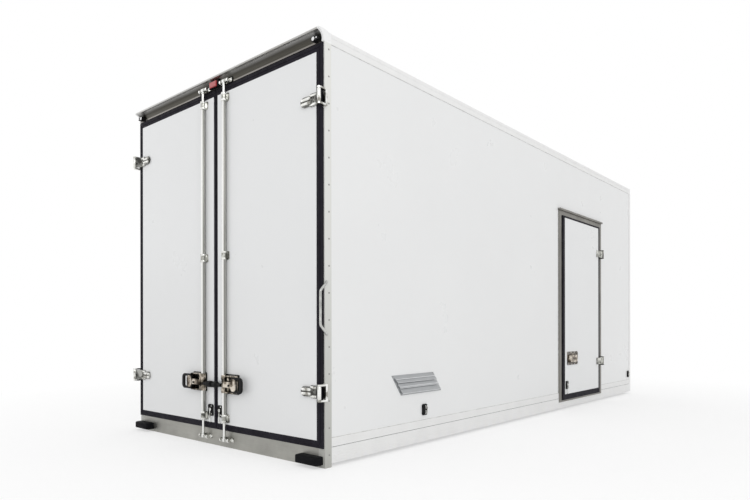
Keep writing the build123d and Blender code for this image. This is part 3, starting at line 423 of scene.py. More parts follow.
def post_finish(name):
    """The rear posts: pale coated steel that goes from near white above to grey below."""
    pale = (0.76, 0.76, 0.73)
    grey = (0.42, 0.42, 0.39)
    material, tree, shader = finish(name, pale, 0.36)
    height = height_share(tree, *POSTS)
    cloud = pattern(tree, 3.0, (1, 1, 0.2), detail=5)
    mixed = add(tree, "Math", {0: cloud, 2: height}, {1: 0.12}, operation="MULTIPLY_ADD")
    stops = ((0.05, grey), (0.55, shade(pale, 0.9)), (0.95, pale))
    ramp(tree, mixed.outputs[0], stops, shader.inputs["Base Color"])
    relief(tree, shader, pattern(tree, 700.0, detail=2), 0.00003, 0.4)
    return material


def height_share(tree, low, high):
    """0 at the lower corner's height and 1 at the upper one's."""
    split = add(tree, "SeparateXYZ", {0: coordinates(tree)})
    values = {"From Min": low[2], "From Max": high[2]}
    return add(tree, "MapRange", {"Value": split.outputs[2]}, values).outputs[0]


def header_painted_light(name):
    """The header's polished steel, with painted reflection and shade banded over its
    height: a light lip, a dark cove and a bright flat below.
    """
    material, tree, shader = finish(name, (0.30, 0.30, 0.29), 0.30, metallic=1.0)
    # Painted reflection and shade by height: light lip, dark cove, bright flat below.
    stops = (
        (0.30, (0.24, 0.24, 0.24)),
        (0.40, (0.33, 0.32, 0.32)),
        (0.46, (0.30, 0.29, 0.28)),
        (0.50, (0.085, 0.082, 0.07)),
        (0.76, (0.075, 0.072, 0.065)),
        (0.84, (0.20, 0.20, 0.20)),
        (0.92, (0.55, 0.55, 0.55)),
    )
    painted_light_bands = ramp(tree, height_share(tree, *HEADER), stops)
    cloud = pattern(tree, 2.0, (0.6, 4, 6), detail=6, rough=0.65)
    wash = ramp(tree, cloud, ((0.3, (0.75, 0.72, 0.66)), (0.7, (1.0, 1.0, 1.0))))
    mix = add(tree, "Mix", data_type="RGBA", blend_type="MULTIPLY")
    mix.inputs[0].default_value = 1.0
    tree.links.new(painted_light_bands, mix.inputs[6])
    tree.links.new(wash, mix.inputs[7])
    tree.links.new(mix.outputs[2], shader.inputs["Base Color"])
    hair_lines(tree, shader, 260.0, (0.02, 1, 1), 0.24, 0.40)
    return material


def zinc(name):
    """Hot-dip zinc: crystals of slightly different greys."""
    colour = (0.40, 0.41, 0.42)
    material, tree, shader = finish(name, colour, 0.5, metallic=0.6)
    crystals = cells(tree, 70.0)
    tone(tree, shader, crystals, colour, (0, 0.8), (0.6, 1.15))
    haze(tree, shader, pattern(tree, 30.0), 0.42, 0.6)
    relief(tree, shader, crystals, 0.00006, 0.4)
    return material


def rubber(name, colour, roughness=0.55, specular=0.08):
    """Black rubber with a dusty bloom in patches and a skin of fine pits."""
    material, tree, shader = finish(name, colour, roughness, specular=specular)
    bloom = pattern(tree, 7.0, (1, 1, 0.4), detail=6, rough=0.6)
    tone(tree, shader, bloom, colour, (0.35, 1), (0.75, 1.9))
    haze(tree, shader, pattern(tree, 25.0), roughness - 0.06, roughness + 0.16)
    relief(tree, shader, pattern(tree, 1500.0, detail=1), 0.00004, 0.4)
    return material


def moulded(name, colour, roughness=0.5, grain=300.0, specular=0.2):
    """Moulded plastic or sealant with a fine grain."""
    material, tree, shader = finish(name, colour, roughness, specular=specular)
    tone(tree, shader, pattern(tree, 18.0), colour, (0.3, 1), (0.75, 1.6))
    haze(tree, shader, pattern(tree, 60.0), roughness - 0.05, roughness + 0.1)
    relief(tree, shader, pattern(tree, grain, detail=1), 0.00005, 0.5)
    return material


def lens(name, colour, ribs):
    """A clear moulded lens: fine flutes behind a glossy face."""
    material, tree, shader = finish(name, colour, 0.12, coat=0.6)
    values = {"Scale": ribs, "Distortion": 0.2}
    wave = add(tree, "TexWave", {"Vector": coordinates(tree)}, values).outputs[1]
    tone(tree, shader, wave, colour, (0, 0.72), (1, 1.15))
    relief(tree, shader, wave, 0.0004, 0.4)
    return material


def grit(name):
    """The load floor: grey resin with mineral grains standing in it."""
    colour = (0.15, 0.155, 0.16)
    material, tree, shader = finish(name, colour, 0.6)
    tone(tree, shader, pattern(tree, 3.0, detail=8, rough=0.65), colour, (0.3, 0.75), (0.7, 1.3))
    relief(tree, shader, cells(tree, 320.0), 0.0008, 0.7)
    return material


ALONG_X, ALONG_Y, ALONG_Z = (0.02, 1, 1), (1, 0.02, 1), (1, 1, 0.01)
ANY_WAY = (1, 1, 1)
PANEL = gel_coat("panel_gel_coat", (0.80, 0.805, 0.805))
DOOR_SKIN = gel_coat("door_gel_coat", (0.775, 0.782, 0.785))
RAIL = powder_coat("rail_coat", (0.83, 0.83, 0.825), 0.96)
CAP = powder_coat("cap_coat", (0.86, 0.86, 0.86), 0.97)
POST = post_finish("post_coat")
HEADER_STEEL = header_painted_light("header_steel")
SILL_STEEL = brushed("sill_steel", (0.40, 0.395, 0.365), ALONG_X, 0.42, 0.82)
TUBE_STEEL = tube_painted_light("tube_steel")
BAR_STEEL = brushed("bar_steel", (0.62, 0.62, 0.60), ALONG_Z, 0.28, 0.6, 30.0)
# Polished steels with painted reflections. BRIGHT is a lit copy and HINGE_STEEL and CLAMP_STEEL
# are darker, shaded copies of one steel. They stand side by side on hinges, rod clamps and
# keepers as painted highlight and painted shade.
POLISHED = polished(
    "polished_steel", (0.10, 0.10, 0.09), (0.46, 0.46, 0.43), (0.86, 0.86, 0.83), 26.0)
BRIGHT = polished(
    "bright_steel", (0.34, 0.33, 0.30), (0.76, 0.76, 0.73), (0.90, 0.90, 0.88), 22.0)
HINGE_STEEL = polished(
    "hinge_steel", (0.06, 0.06, 0.055), (0.17, 0.17, 0.16), (0.40, 0.40, 0.38), 20.0)
CLAMP_STEEL = polished(
    "clamp_steel", (0.10, 0.10, 0.09), (0.34, 0.34, 0.31), (0.62, 0.62, 0.58), 22.0)
LOCK_STEEL = polished(
    "lock_steel", (0.025, 0.021, 0.017), (0.20, 0.175, 0.14), (0.52, 0.46, 0.39), 24.0)
LEVER_STEEL = polished(
    "lever_steel", (0.045, 0.035, 0.025), (0.26, 0.22, 0.175), (0.66, 0.60, 0.52), 20.0)
SIDE_LOCK = polished(
    "side_lock_steel", (0.012, 0.010, 0.009), (0.075, 0.060, 0.048), (0.24, 0.21, 0.17), 30.0)
DARK_STEEL = brushed("dark_steel", (0.07, 0.068, 0.062), ANY_WAY, 0.34, 0.6, 40.0)
FRAME_STEEL = brushed("frame_steel", (0.25, 0.24, 0.22), ALONG_Z, 0.38, 0.7)
ALUMINIUM = brushed("vent_aluminium", (0.42, 0.43, 0.44), ALONG_Y, 0.38, 0.9)
SCREW_STEEL = brushed("screw_steel", (0.30, 0.30, 0.29), ANY_WAY, 0.3, 0.7, 40.0)
RIVET_COAT = powder_coat("rivet_coat", (0.30, 0.30, 0.28), 0.85)
UNDERFRAME = zinc("underframe_zinc")
SEAL = rubber("seal_rubber", (0.011, 0.010, 0.014))
BUMPER = rubber("bumper_rubber", (0.006, 0.006, 0.007), 0.55, 0.06)
BLACK = moulded("black_plastic", (0.007, 0.007, 0.0075), 0.45, 1600.0, 0.1)
# Grey sealant, which also stands for the shadow line under the roof rail.
SEALANT_AND_SHADE = moulded("grey_sealant_and_shade", (0.50, 0.50, 0.49))
JOINT = moulded("joint_sealant", (0.16, 0.17, 0.17))
# Painted highlight: a lighter copy of the vent's aluminium for the slats' lips.
VENT_HIGHLIGHT_LIP = brushed("vent_highlight_lip", (0.74, 0.75, 0.76), ALONG_Y, 0.3, 0.9)
RED = lens("red_lens", (0.42, 0.025, 0.03), 90.0)
CLEAR = lens("clear_lens", (0.88, 0.88, 0.90), 120.0)
FLOOR_GRIT = grit("floor_grit")

# The nodes in each finish, with a star for both rear doors
CARRIED = (
    (FLOOR_GRIT, "floor_panel"),
    (PANEL, "roof_panel left_wall right_wall front_wall"),
    (RAIL, "bottom_rails roof_rails front_corner_posts front_rails"),
    (CAP, "front_corner_caps rear_corner_caps"),
    (POST, "rear_posts"),
    (HEADER_STEEL, "rear_header"),
    (SILL_STEEL, "rear_sill"),
    (BUMPER, "dock_bumpers"),
    (BAR_STEEL, "grab_handle"),
    (UNDERFRAME, "runners cross_members mounting_brackets"),
    (BRIGHT, "cam_keepers rear_hinge_brackets"),
    (BLACK, "door_catches lamp_housings side_door_hold_hook *_door_lock_handle"),
    (BLACK, "*_door_hold_hook"),
    (RED, "stop_lamp"),
    (CLEAR, "marker_lenses"),
    (ALUMINIUM, "vent_louvre"),
    (FRAME_STEEL, "side_door_frame"),
    (CLAMP_STEEL, "side_hinge_brackets side_door_hinge_straps"),
    (DOOR_SKIN, "side_door_panel *_door_panel"),
    (SEAL, "side_door_seal *_door_seal"),
    (SIDE_LOCK, "side_door_lock"),
    (TUBE_STEEL, "*_door_lock_rod"),
    (POLISHED, "*_door_rod_guides *_door_hinge_straps"),
    (LOCK_STEEL, "*_door_lock_case"),
)
for material, names in CARRIED:
    for name in names.split():
        for side, _ in SIDES:
            mesh = NODES[name.replace("*", side)].data
            mesh.materials.clear()
            mesh.materials.append(material)


# Rivets and beads on the walls

def rivets(name, places, axis, material, body, radius=6, height=2.2):
    """Low domes: a radius falls off as a quarter ellipse with its height."""
    angle = np.linspace(0, np.pi / 2, 5)
    profile = [(radius * np.cos(a) + 0.2, height * np.sin(a)) for a in angle]
    points, faces = turned((0, 0, 0), axis, [(radius, -0.5)] + profile, around=14)
    shells = [(points + np.asarray(place), faces) for place in places]
    piece(name, shells, material, body)


def post_rivets():
    """Rivets down the outer flange of both rear posts, one about every 177 mm."""
    y = POSTS[1][1] - 0.022
    post = np.arange(0.083, POSTS[1][2] - 0.02, 0.177)
    cap = box("rear_corner_caps")[0][2] + np.array([0.020, 0.062])
    for side, sign in SIDES:
        for name, heights, material, slot in (
            ("post", post, RIVET_COAT, "post_paint"),
            ("cap", cap, CAP, "cap_white"),
        ):
            places = [(sign * HALF, y, z) for z in heights]
            rivets(f"{side}_{name}_rivets", places, (sign, 0, 0), material, "box_body")


def sealant_and_shadow_beads():
    """Thin grey beads along the rails' edges, partly sealant and partly a painted shadow
    line under the roof rail's lower edge, and the rails' long joint.
    """
    start, end = POSTS[1][1], box("front_corner_posts")[0][1]
    for side, sign in SIDES:
        lower = [(start, end)]
        if sign > 0:
            lower = [(start, SIDE_FRAME[0][1]), (SIDE_FRAME[1][1], end)]
        beads = [(start, end, ROOF_RAIL[0][2] - 0.001)]
        beads += [(a, b, BOTTOM_RAIL[1][2] + 0.0015) for a, b in lower]
        joints = [(a, b, RAIL_JOINT) for a, b in lower]
        # The grey beads are sealant and a painted shadow line under the roof rail.
        for name, runs, x, radius, material in (
            ("sealant_and_shadow_beads", beads, WALL_FACE, 0.0028, SEALANT_AND_SHADE),
            ("rail_joint", joints, HALF - 0.0006, 0.0016, JOINT),
        ):
            shells = [bar(radius, [(sign * x, a, z), (sign * x, b, z)], UP) for a, b, z in runs]
            piece(f"{side}_{name}", shells, material, "box_body")


# Rear door gear

def rod_piece(side, sign):
    """The lock rod turned from a tube and two shanks, with a cam at each end.

    A cam's arms are two pressed lugs, and a collar stands between each cam and the tube.
    """
    low, high = box(f"{side}_door_lock_rod")
    leaf = box(f"{side}_door_panel")
    foot = (leaf[0][2] + 0.030 - low[2]) / MM
    head = (leaf[1][2] - 0.030 - low[2]) / MM
    top = (high[2] - low[2]) / MM
    shank, wide, collar = 10.5, 17, 13.5
    profile = [
        (shank - 2, 0), (shank, 2), (shank, 30), (collar, 32), (collar, 38), (shank, 40),
        (shank, foot - 6), (wide - 1, foot), (wide, foot + 3),
        (wide, head - 3), (wide - 1, head), (shank, head + 6), (shank, top - 40),
        (collar, top - 38), (collar, top - 32), (shank, top - 30), (shank, top - 2),
        (shank - 2, top),
    ]
    x = sign * ROD_X
    shells = [turned((x, ROD_Y, low[2]), UP, profile, around=40)]
    lug = [(2.3, 8, -11.8), (0, 9.5, -9.5), (0, 9.5, 9.5), (2.3, 8, 11.8)]
    for z in (low[2] + 0.012, high[2] - 0.012):
        shells.append(pressed((x, ROD_Y, z), SIDEWAYS, (0, 1, 0), (31.8, 10.8), lug))
    piece(f"{side}_rod", shells, TUBE_STEEL, f"{side}_door",
          [f"{side}_door_lock_rod"])


def guide_pieces(side, sign):
    """Saddle clamps over the rod: a barrel whose radius swells at both rims, on a
    round-cornered foot with a hump each side and four bolts. The rims are a lit copy
    of the clamp's steel, a painted highlight, and the waist between them stays
    darker as painted shade."""
    x = sign * ROD_X
    body = f"{side}_door"
    back = DOOR_FACE - 0.0004
    low, high = (corner[2] for corner in box(f"{side}_door_panel"))
    rim = [(17.5, -7), (21.2, -7.5), (22.7, -5.5), (22.8, 2), (22, 6), (20, 7.5), (17.5, 7)]
    waist = [(17.5, -20), (20.5, -20), (19.6, -10), (19.6, 10), (20.5, 20), (17.5, 20)]
    foot = [(0.5, 10, 0.2), (0, 10, 1.5), (0.5, 10, 3.2), (2, 9, 3.8), (13.5, 5, 8, 4.5),
            (17, 8.5, 7, 10), (20.5, 12, 6, 15)]
    rims, feet, bolts = [], [], []
    for z in (low + 0.048, (low + high) / 2 + 0.018, high - 0.048):
        for v in (-1, 1):
            edge = turned((x, ROD_Y, z + v * 0.024), UP * -v, rim, around=36)
            rims.append(backed(edge, back))
        feet.append(backed(turned((x, ROD_Y, z), UP, waist, around=36), back))
        feet.append(pressed((x, DOOR_FACE, z), SIDEWAYS, UP, (42, 32), foot))
        bolts += [(x + u * 0.0345, DOOR_FACE - 0.0036, z + v * 0.0205)
                  for u in (-1, 1) for v in (-1, 1)]
    # Painted light: waist and foot in the darker clamp steel, rims in the bright steel.
    piece(f"{side}_clamp_feet", feet, CLAMP_STEEL, body,
          [f"{side}_door_rod_guides"])
    piece(f"{side}_rod_clamps", rims, BRIGHT, body)
    rivets(f"{side}_clamp_bolts", bolts, REARWARD, DARK_STEEL, body, 5, 3.6)


def lock_pieces(side, sign):
    """A black backing, a pressed open pan, a hub round the rod and a keyed barrel."""
    low, high = box(f"{side}_door_lock_case")
    outer = max(abs(low[0]), abs(high[0]))
    inner = min(abs(low[0]), abs(high[0]))
    body = f"{side}_door"
    half = ((outer - inner) / 2 / MM, (high[2] - low[2]) / 2 / MM)
    backing = [(0, 10, 0.2), (0, 10, 4.5), (1.5, 8.5, 6)]
    shell = pressed((sign * (outer + inner) / 2, DOOR_FACE, LOCK_Z), SIDEWAYS, UP, half, backing)
    piece(f"{side}_lock_backing", [shell], BLACK, body,
          [f"{side}_door_lock_case"])
    face = DOOR_FACE - LOCK_BACKING
    start, end = ROD_X + 0.022, outer - 0.008
    middle = sign * (end + start) / 2
    tall = 68.5
    pan = [(0, 14, 0.2), (0, 14, 27), (1, 13, 31.5), (3, 12, 33.8), (7, 9, 33.8),
           (10, 9, 31.5), (12, 10, 12), (19, 12, 6), (45, 40, 10, 6)]
    hub = [(17.8, -66), (22.5, -67), (24, -65), (24, -34), (21.2, -31), (21.2, 31),
           (24, 34), (24, 65), (22.5, 67), (17.8, 66)]
    half = ((end - start) / 2 / MM, tall)
    shells = [
        pressed((middle, face, LOCK_Z), SIDEWAYS, UP, half, pan),
        backed(turned((sign * ROD_X, ROD_Y, LOCK_Z), UP, hub, around=36), face),
    ]
    piece(f"{side}_lock_pan", shells, LOCK_STEEL, body)
    slot = [(0, 4, 0), (0, 4, 1.8), (2, 1.7, 2.2, 2.4)]
    slots = []
    for v in (-0.040, 0.040):
        for u in (-0.026, 0.020):
            place = (middle + sign * u, face - 0.006, LOCK_Z + v)
            slots.append(pressed(place, SIDEWAYS, UP, (17, 4.2), slot))
    barrel = [(8.5, 0), (8.5, 2), (7, 2.8), (3, 2.8), (2.5, 1.5)]
    place = (sign * 0.236, GRIP_BACK, LOCK_Z - 0.006)
    slots.append(turned(place, REARWARD, barrel, around=24))
    piece(f"{side}_lock_slots", slots, BLACK, body)
    rim = tall * MM - 0.005
    places = [(sign * (end - 0.0052 - 0.1256 * share), face - 0.0336, LOCK_Z + v * rim)
              for share in (0.12, 0.5, 0.88) for v in (-1, 1)]
    rivets(f"{side}_lock_rivets", places, REARWARD, DARK_STEEL, body, 2.6, 1)


def handle_pieces(side, sign):
    """The knob beside the rod, the steel lever over the pan and the black D grip."""
    low, high = box(f"{side}_door_lock_handle")
    end = max(abs(low[0]), abs(high[0]))
    start = min(abs(low[0]), abs(high[0]))
    body = f"{side}_door"
    knob = [
        (15, 0), (21.5, 2), (24.7, 7), (25, 13), (23.8, 15.5), (25, 18), (25, 25),
        (23.8, 27.5), (25, 30), (25, 40), (23.2, 50), (18, 57.5), (14.2, 61),
        (13.5, 70), (13.5, 86), (14, (ROD_X - HUB_HALF - start) / MM),
    ]
    place = (sign * start, DOOR_FACE - 0.030, LOCK_Z - 0.010)
    shells = [turned(place, (sign, 0, 0), knob, around=36)]
    hole = (0.327, end - 0.038)
    half = ((end - GRIP_START) / 2 / MM, 60)
    narrow = half[0] - (hole[1] - hole[0]) / 2 / MM
    shift = sign * (sum(hole) - end - GRIP_START) / 2 / MM
    grip = [
        (1, 33.5, -11.7), (0, 34, -9), (0.4, 33.6, -4), (3, 31, -1), (6, 28, -0.2),
        (narrow - 6, 14, 16, -0.2), (narrow - 2, 18, 12, -1.5), (narrow, 20, 10, -6),
        (narrow - 1, 19, 11, -11), (narrow - 3, 17, 13, -11.7), (4, 30, -11.7),
    ]
    at = [(0, 0)] * 5 + [(shift, 0)] * 5 + [(0, 0)]
    place = (sign * (end + GRIP_START) / 2, GRIP_BACK, LOCK_Z)
    shells.append(pressed(place, SIDEWAYS, UP, half, grip, at, steps=10, closed=True))
    piece(f"{side}_lock_grip", shells, BLACK, body,
          [f"{side}_door_lock_handle"])
    lever = [(0, 0.5, 6, -11.7), (0, 6, -4), (2, 6, -1), (5, 6, -0.3), (10, 11, 6, -0.3),
             (12, 13, 5, -2.5), (20, 17, 4, -2.5)]
    plate = [(0, 25, -0.3), (0, 25, 0.8), (1.5, 24, 2), (7, 19, 2), (8.5, 18, 0.8),
             (19, 22, 10, 0.8)]
    hub_end = ROD_X + HUB_HALF
    half = ((GRIP_START - hub_end) / 2 / MM, 23)
    place = (sign * (hub_end + GRIP_START) / 2, GRIP_BACK, LOCK_Z)
    shells = [
        pressed(place, SIDEWAYS, UP, half, lever),
        pressed((sign * 0.295, GRIP_BACK, LOCK_Z), SIDEWAYS, UP, (31, 47), plate, steps=8),
    ]
    piece(f"{side}_lock_lever", shells, LEVER_STEEL, body)


def rear_hinges(side, sign):
    """Knuckle, cranked strap and a ribbed round-ended plate, two on each rear door.

    The plate is a pressed dome with two long ribs and, between them, a dark strip of
    painted shade that stands for a groove. The ribs and knuckle are a lit copy of
    the plate's steel, a painted highlight. A dark plate of painted shadow stands
    between the ears of each bracket on the post, behind the knuckle.
    """
    pin = HINGES[f"{side}_door"]
    node = f"{side}_door_hinge_straps"
    body = f"{side}_door"
    tall = 42.5
    knuckle = [(6.2, -tall), (11.5, -tall), (12.5, -41.2), (12.5, 41.2), (11.5, tall),
               (6.2, tall)]
    dome = [(0, 0.2, 33, 0.2), (0, 33, 8), (1, 1.2, 31.8, 12), (4, 29, 15),
            (9.5, 9, 24, 15.8)]
    rib = [(0, 9.9, 14), (0.5, 0.6, 9.3, 17.2), (2.5, 2.6, 7.3, 19.2), (5.5, 6, 3.9, 19.9)]
    edge = [(0, 6, 4), (0, 6, 10.5), (1, 1.5, 5, 11.5)]
    groove = [(0, 2.5, 14), (0, 2.5, 16.2), (1, 1.5, 16.6)]
    shadow = [(0, 2, 0.2), (0, 2, 0.6), (1, 1.5, 1)]
    section = rounded(tall * MM, 0.0045, 0.0030, 4)
    plates, ribs, groove_shades, bolts, shadows = [], [], [], [], []
    low, high = box(node)
    for z in (low[2] + tall * MM, high[2] - tall * MM):
        ribs.append(turned((pin[0], pin[1], z), UP, knuckle))
        middle = DOOR_FACE - 0.0046
        route = bent([
            (sign * 1.090, middle, z),
            (sign * 1.140, middle, z),
            (pin[0], pin[1] + 0.004, z),
        ], 0.012)
        plates.append(carried(section, route, UP))
        place = (sign * HINGE_PLATE_X, DOOR_FACE, z)
        strap = (sign * HINGE_STRAP_X, DOOR_FACE, z)
        plates.append(pressed(place, SIDEWAYS, UP, (54.5, 34), dome, steps=10))
        ribs += [pressed(place, SIDEWAYS, UP, (45.5, 10), rib, (0, v), 8) for v in (-14, 14)]
        ribs += [pressed(strap, SIDEWAYS, UP, (33, 7), edge, (0, v), 5) for v in (-30, 30)]
        groove_shades.append(pressed(place, SIDEWAYS, UP, (44, 2.6), groove))
        bolts += [(sign * 1.118, DOOR_FACE - 0.009, z + v) for v in (-0.012, 0.012)]
        # A dark plate of painted shadow in the gap behind the knuckle.
        place = (pin[0] - sign * 0.004, REAR_SEAT - 0.008, z)
        shadows.append(pressed(place, SIDEWAYS, UP, (8.5, tall), shadow))
    # Painted light: plates in the darker hinge steel, ribs and knuckles in the bright steel as
    # painted highlight, the groove strip and bracket plate as painted shade.
    piece(f"{side}_hinge_plates", plates, HINGE_STEEL, body, [node])
    piece(f"{side}_hinge_ribs", ribs, BRIGHT, body)
    piece(f"{side}_hinge_groove_shades", groove_shades, DARK_STEEL, body)
    rivets(f"{side}_hinge_bolts", bolts, REARWARD, DARK_STEEL, body, 6, 3)
    piece(f"{side}_bracket_shadow", shadows, DARK_STEEL, "box_body")


def hook_piece(side, face, u_axis, out):
    """The hold-back hook: a black plate, a bright ring and a thin bar hung from it.

    It sits over its node's middle on a face, which is given as an axis and a height.
    """
    node = f"{side}_door_hold_hook"
    axis, height = face
    place = sum(box(node)) / 2
    place[axis] = height
    place[2] = HOOK_Z
    u_axis = np.asarray(u_axis, float)
    out = np.asarray(out, float)
    plate = [(0.5, 12, 0.2), (0, 12, 5), (1, 11, 7.2), (3, 10, 8), (7, 8, 8),
             (8.5, 8, 6.8), (20, 6, 6.8)]
    piece(f"{side}_hook_plate", [pressed(place, u_axis, UP, (35, 45), plate)], BLACK,
          f"{side}_door", [node])
    front = place + out * 0.013
    end = front - UP * 0.093
    route = bent([front + UP * 0.006, end, end - out * 0.0095], 0.006)
    screw = [(5.8, 0), (5.6, 1.4), (4, 2.6), (0.8, 3)]
    shells = [bar(0.0042, route, u_axis, 12)]
    shells.append(ring(place + out * 0.0122 + UP * 0.006, out, 0.0095, 0.0033))
    for v in (-0.030, 0.033):
        spot = place + out * 0.0078 + UP * v + u_axis * 0.012
        shells.append(turned(spot, out, screw, around=16))
    piece(f"{side}_hook_bar", shells, BRIGHT, f"{side}_door")


# Rear frame

def cap_returns():
    """The caps' rims, folded over the header's ends.

    The strip follows the header's outline: down the lip, along the circle through the
    cove's two ends and its deepest point, then over the ledge.
    """
    top = HEADER[1][2]
    lip, seat = HEADER[0][1], REAR_SEAT
    ends = np.array([(seat - 0.010, top - 0.068), (lip + 0.004, top - 0.012)])
    chord = ends[1] - ends[0]
    length = np.linalg.norm(chord)
    inward = np.array([chord[1], -chord[0]]) / length
    sag = 0.014
    radius = (length ** 2 / 4 + sag ** 2) / (2 * sag)
    centre = ends.mean(axis=0) + inward * (sag - radius)
    half = math.asin(length / 2 / radius)
    angle = np.linspace(half, -half, 12)[:, None]
    arc = centre + radius * (np.cos(angle) * inward - np.sin(angle) * chord / length)
    arc = arc[::-1] if np.linalg.norm(arc[0] - ends[1]) > 0.001 else arc
    outline = np.concatenate([
        [(lip, top - 0.0012), (lip, top - 0.010)],
        arc,
        [(seat - 0.010, top - 0.079), (seat - 0.001, top - 0.0795)],
    ])
    section = rounded(0.0085, 0.0014, 0.0010, 3)
    for side, sign in SIDES:
        path = [(sign * (HALF - 0.0085), y, z) for y, z in outline]
        shell = carried(section, path, SIDEWAYS)
        piece(f"{side}_cap_return", [shell], CAP, "box_body")


def bumpers():
    """Rubber blocks with round corners, a moulded step and two sunk bolts."""
    low, high = box("dock_bumpers")
    deep = (high[1] - low[1]) / MM
    half = (102.5, (high[2] - low[2]) / 2 / MM)
    block = [(0, 6, 0), (0, 6, deep - 22), (2, 1, 7, deep - 10), (8.5, 4, 8, deep - 2),
             (14.5, 7, 8, deep)]
    z = (low[2] + high[2]) / 2
    shells, bolts = [], []
    for _, sign in SIDES:
        middle = sign * (high[0] - half[0] * MM)
        shells.append(pressed((middle, high[1], z), SIDEWAYS, UP, half, block))
        bolts += [(middle + u, low[1] + 0.0004, z) for u in (-0.055, 0.055)]
    piece("bumper_blocks", shells, BUMPER, "box_body", ["dock_bumpers"])
    rivets("bumper_bolts", bolts, REARWARD, BLACK, "box_body", 9, 0.4)


def grab_bar():
    """The grab handle: a round bar bent twice, its legs at 45 degrees to the post."""
    low, high = box("grab_handle")
    radius = 0.008
    x = (low[0] + high[0]) / 2
    back = low[1] + radius
    lap = high[1] - radius * math.sqrt(0.5)
    leg = lap - back
    foot = low[2] + radius * math.sqrt(0.5)
    head = high[2] - radius * math.sqrt(0.5)
    corners = [(x, lap, foot), (x, back, foot + leg), (x, back, head - leg), (x, lap, head)]
    shell = bar(radius, bent(corners, 0.030, 10), SIDEWAYS, 24)
    piece("grab_bar", [shell], BAR_STEEL, "box_body", ["grab_handle"])


def keepers():
    """Round-cornered plates with two blunt-nosed cheeks each and a bolt beside them.
    The plates are a darker, shaded copy of the cheeks' steel, which gives the bright
    cheeks painted dark outlines.

    A cheek's outline is a half round nose on a block, drawn across the rod.
    """
    low, high = box("cam_keepers")
    plate = [(0, 6, 0.2), (0, 6, 2.5), (1, 5.5, 3.8)]
    flange = [(0, 4, 3), (1, 1.2, 4, 5.2), (4.5, 3.2, 3, 8)]
    plates, shells, bolts = [], [], []
    for z, seat in ((low[2] + 0.016, REAR_SEAT), (high[2] - 0.016, REAR_SEAT - 0.014)):
        reach = (seat - low[1]) / MM
        cheek = [(0, 3, 2), (0, 3, reach - 16), (0, 1.3, 3, reach - 9),
                 (0.5, 4.3, 3, reach - 4), (1.5, 8.8, 2.8, reach - 1.2),
                 (3, 11.8, 2, reach - 0.3)]
        for _, sign in SIDES:
            x = sign * ROD_X
            plates.append(pressed((x, seat, z), SIDEWAYS, UP, (73.5, 15.8), plate))
            for u in (-1, 1):
                place = (x + u * 0.047, seat, z)
                shells.append(pressed(place, SIDEWAYS, UP, (6, 14.8), cheek))
                shells.append(pressed(place, SIDEWAYS, UP, (11.5, 15.2), flange))
                bolts.append((x + u * 0.0645, seat - 0.0036, z))
    # Painted light: plates in the darker clamp steel, cheeks and bolts in the bright steel.
    piece("keeper_plates", plates, CLAMP_STEEL, "box_body", ["cam_keepers"])
    piece("keeper_cheeks", shells, BRIGHT, "box_body")
    rivets("keeper_bolts", bolts, REARWARD, BRIGHT, "box_body", 7.5, 5.5)


def lamps():
    """Marker lamps on round black bases and the ribbed stop lamp between the rods.

    A marker's dome is a quarter ellipse turned about its middle.
    """
    low, high = box("marker_lenses")
    z = (low[2] + high[2]) / 2
    angle = np.linspace(0, np.pi / 2, 8)
    domes, rims = [], []
    for _, sign in SIDES:
        for inset, radius in ((0.038, 14), (0.006, 6)):
            place = (sign * (high[0] - inset), high[1], z)
            dome = [(radius * math.cos(a) + 0.1, 5.8 * math.sin(a)) for a in angle]
            domes.append(turned(place, REARWARD, [(radius, -1)] + dome, around=28))
            rim = [(radius + 0.2, -1), (radius + 0.2, 1.6), (radius + 1.2, 2.2),
                   (radius + 3, 1.8), (radius + 4, -1)]
            rims.append(turned(place, REARWARD, rim, around=28))
    piece("marker_domes", domes, CLEAR, "box_body", ["marker_lenses"])
    piece("marker_rims", rims, BLACK, "box_body")
    low, high = box("stop_lamp")
    half = (high[0] / MM, (high[2] - low[2]) / 2 / MM)
    stop = [(0, 5, 0.2), (0, 5, 5), (1.5, 4.5, 8.5), (4, 4, 9.8), (10, 3.5, 10)]
    shell = pressed((0, high[1], (low[2] + high[2]) / 2), SIDEWAYS, UP, half, stop)
    piece("stop_lens", [shell], RED, "box_body", ["stop_lamp"])


# Side door, catches and vent

def wall_catches():
    """The catches for the open doors' hooks: a black moulded base on the wall, with a
    half-round shoulder on its rear edge, and bright wire loops across its middle."""
    low, high = box("door_catches")
    z = (low[2] + high[2]) / 2
    base = [(1, 12, 0.2), (0, 12, 5), (0.5, 12, 10), (3, 11, 13.5), (8, 8, 14.5),
            (18, 6, 14.5)]
    bases, loops = [], []
    for sign, y in ((1, low[1] + 0.035), (-1, low[1] + 0.035), (1, high[1] - 0.035)):
        place = (sign * WALL_FACE, y, z)
        bases.append(pressed(place, (0, sign, 0), UP, (30, 44), base, steps=8))
        out = sign * (WALL_FACE + 0.0205)
        foot = sign * (WALL_FACE + 0.0120)
        for wire_y in (y - 0.001, y + 0.017):
            for v in (-0.018, 0.018):
                low_z, high_z = z + v - 0.013, z + v + 0.013
                corners = [(foot, wire_y, low_z), (out, wire_y, low_z),
                           (out, wire_y, high_z), (foot, wire_y, high_z)]
                loops.append(bar(0.003, bent(corners, 0.006), (0, 1, 0), 10))
    piece("catch_bases", bases, BLACK, "box_body", ["door_catches"])
    piece("catch_loops", loops, BRIGHT, "box_body")


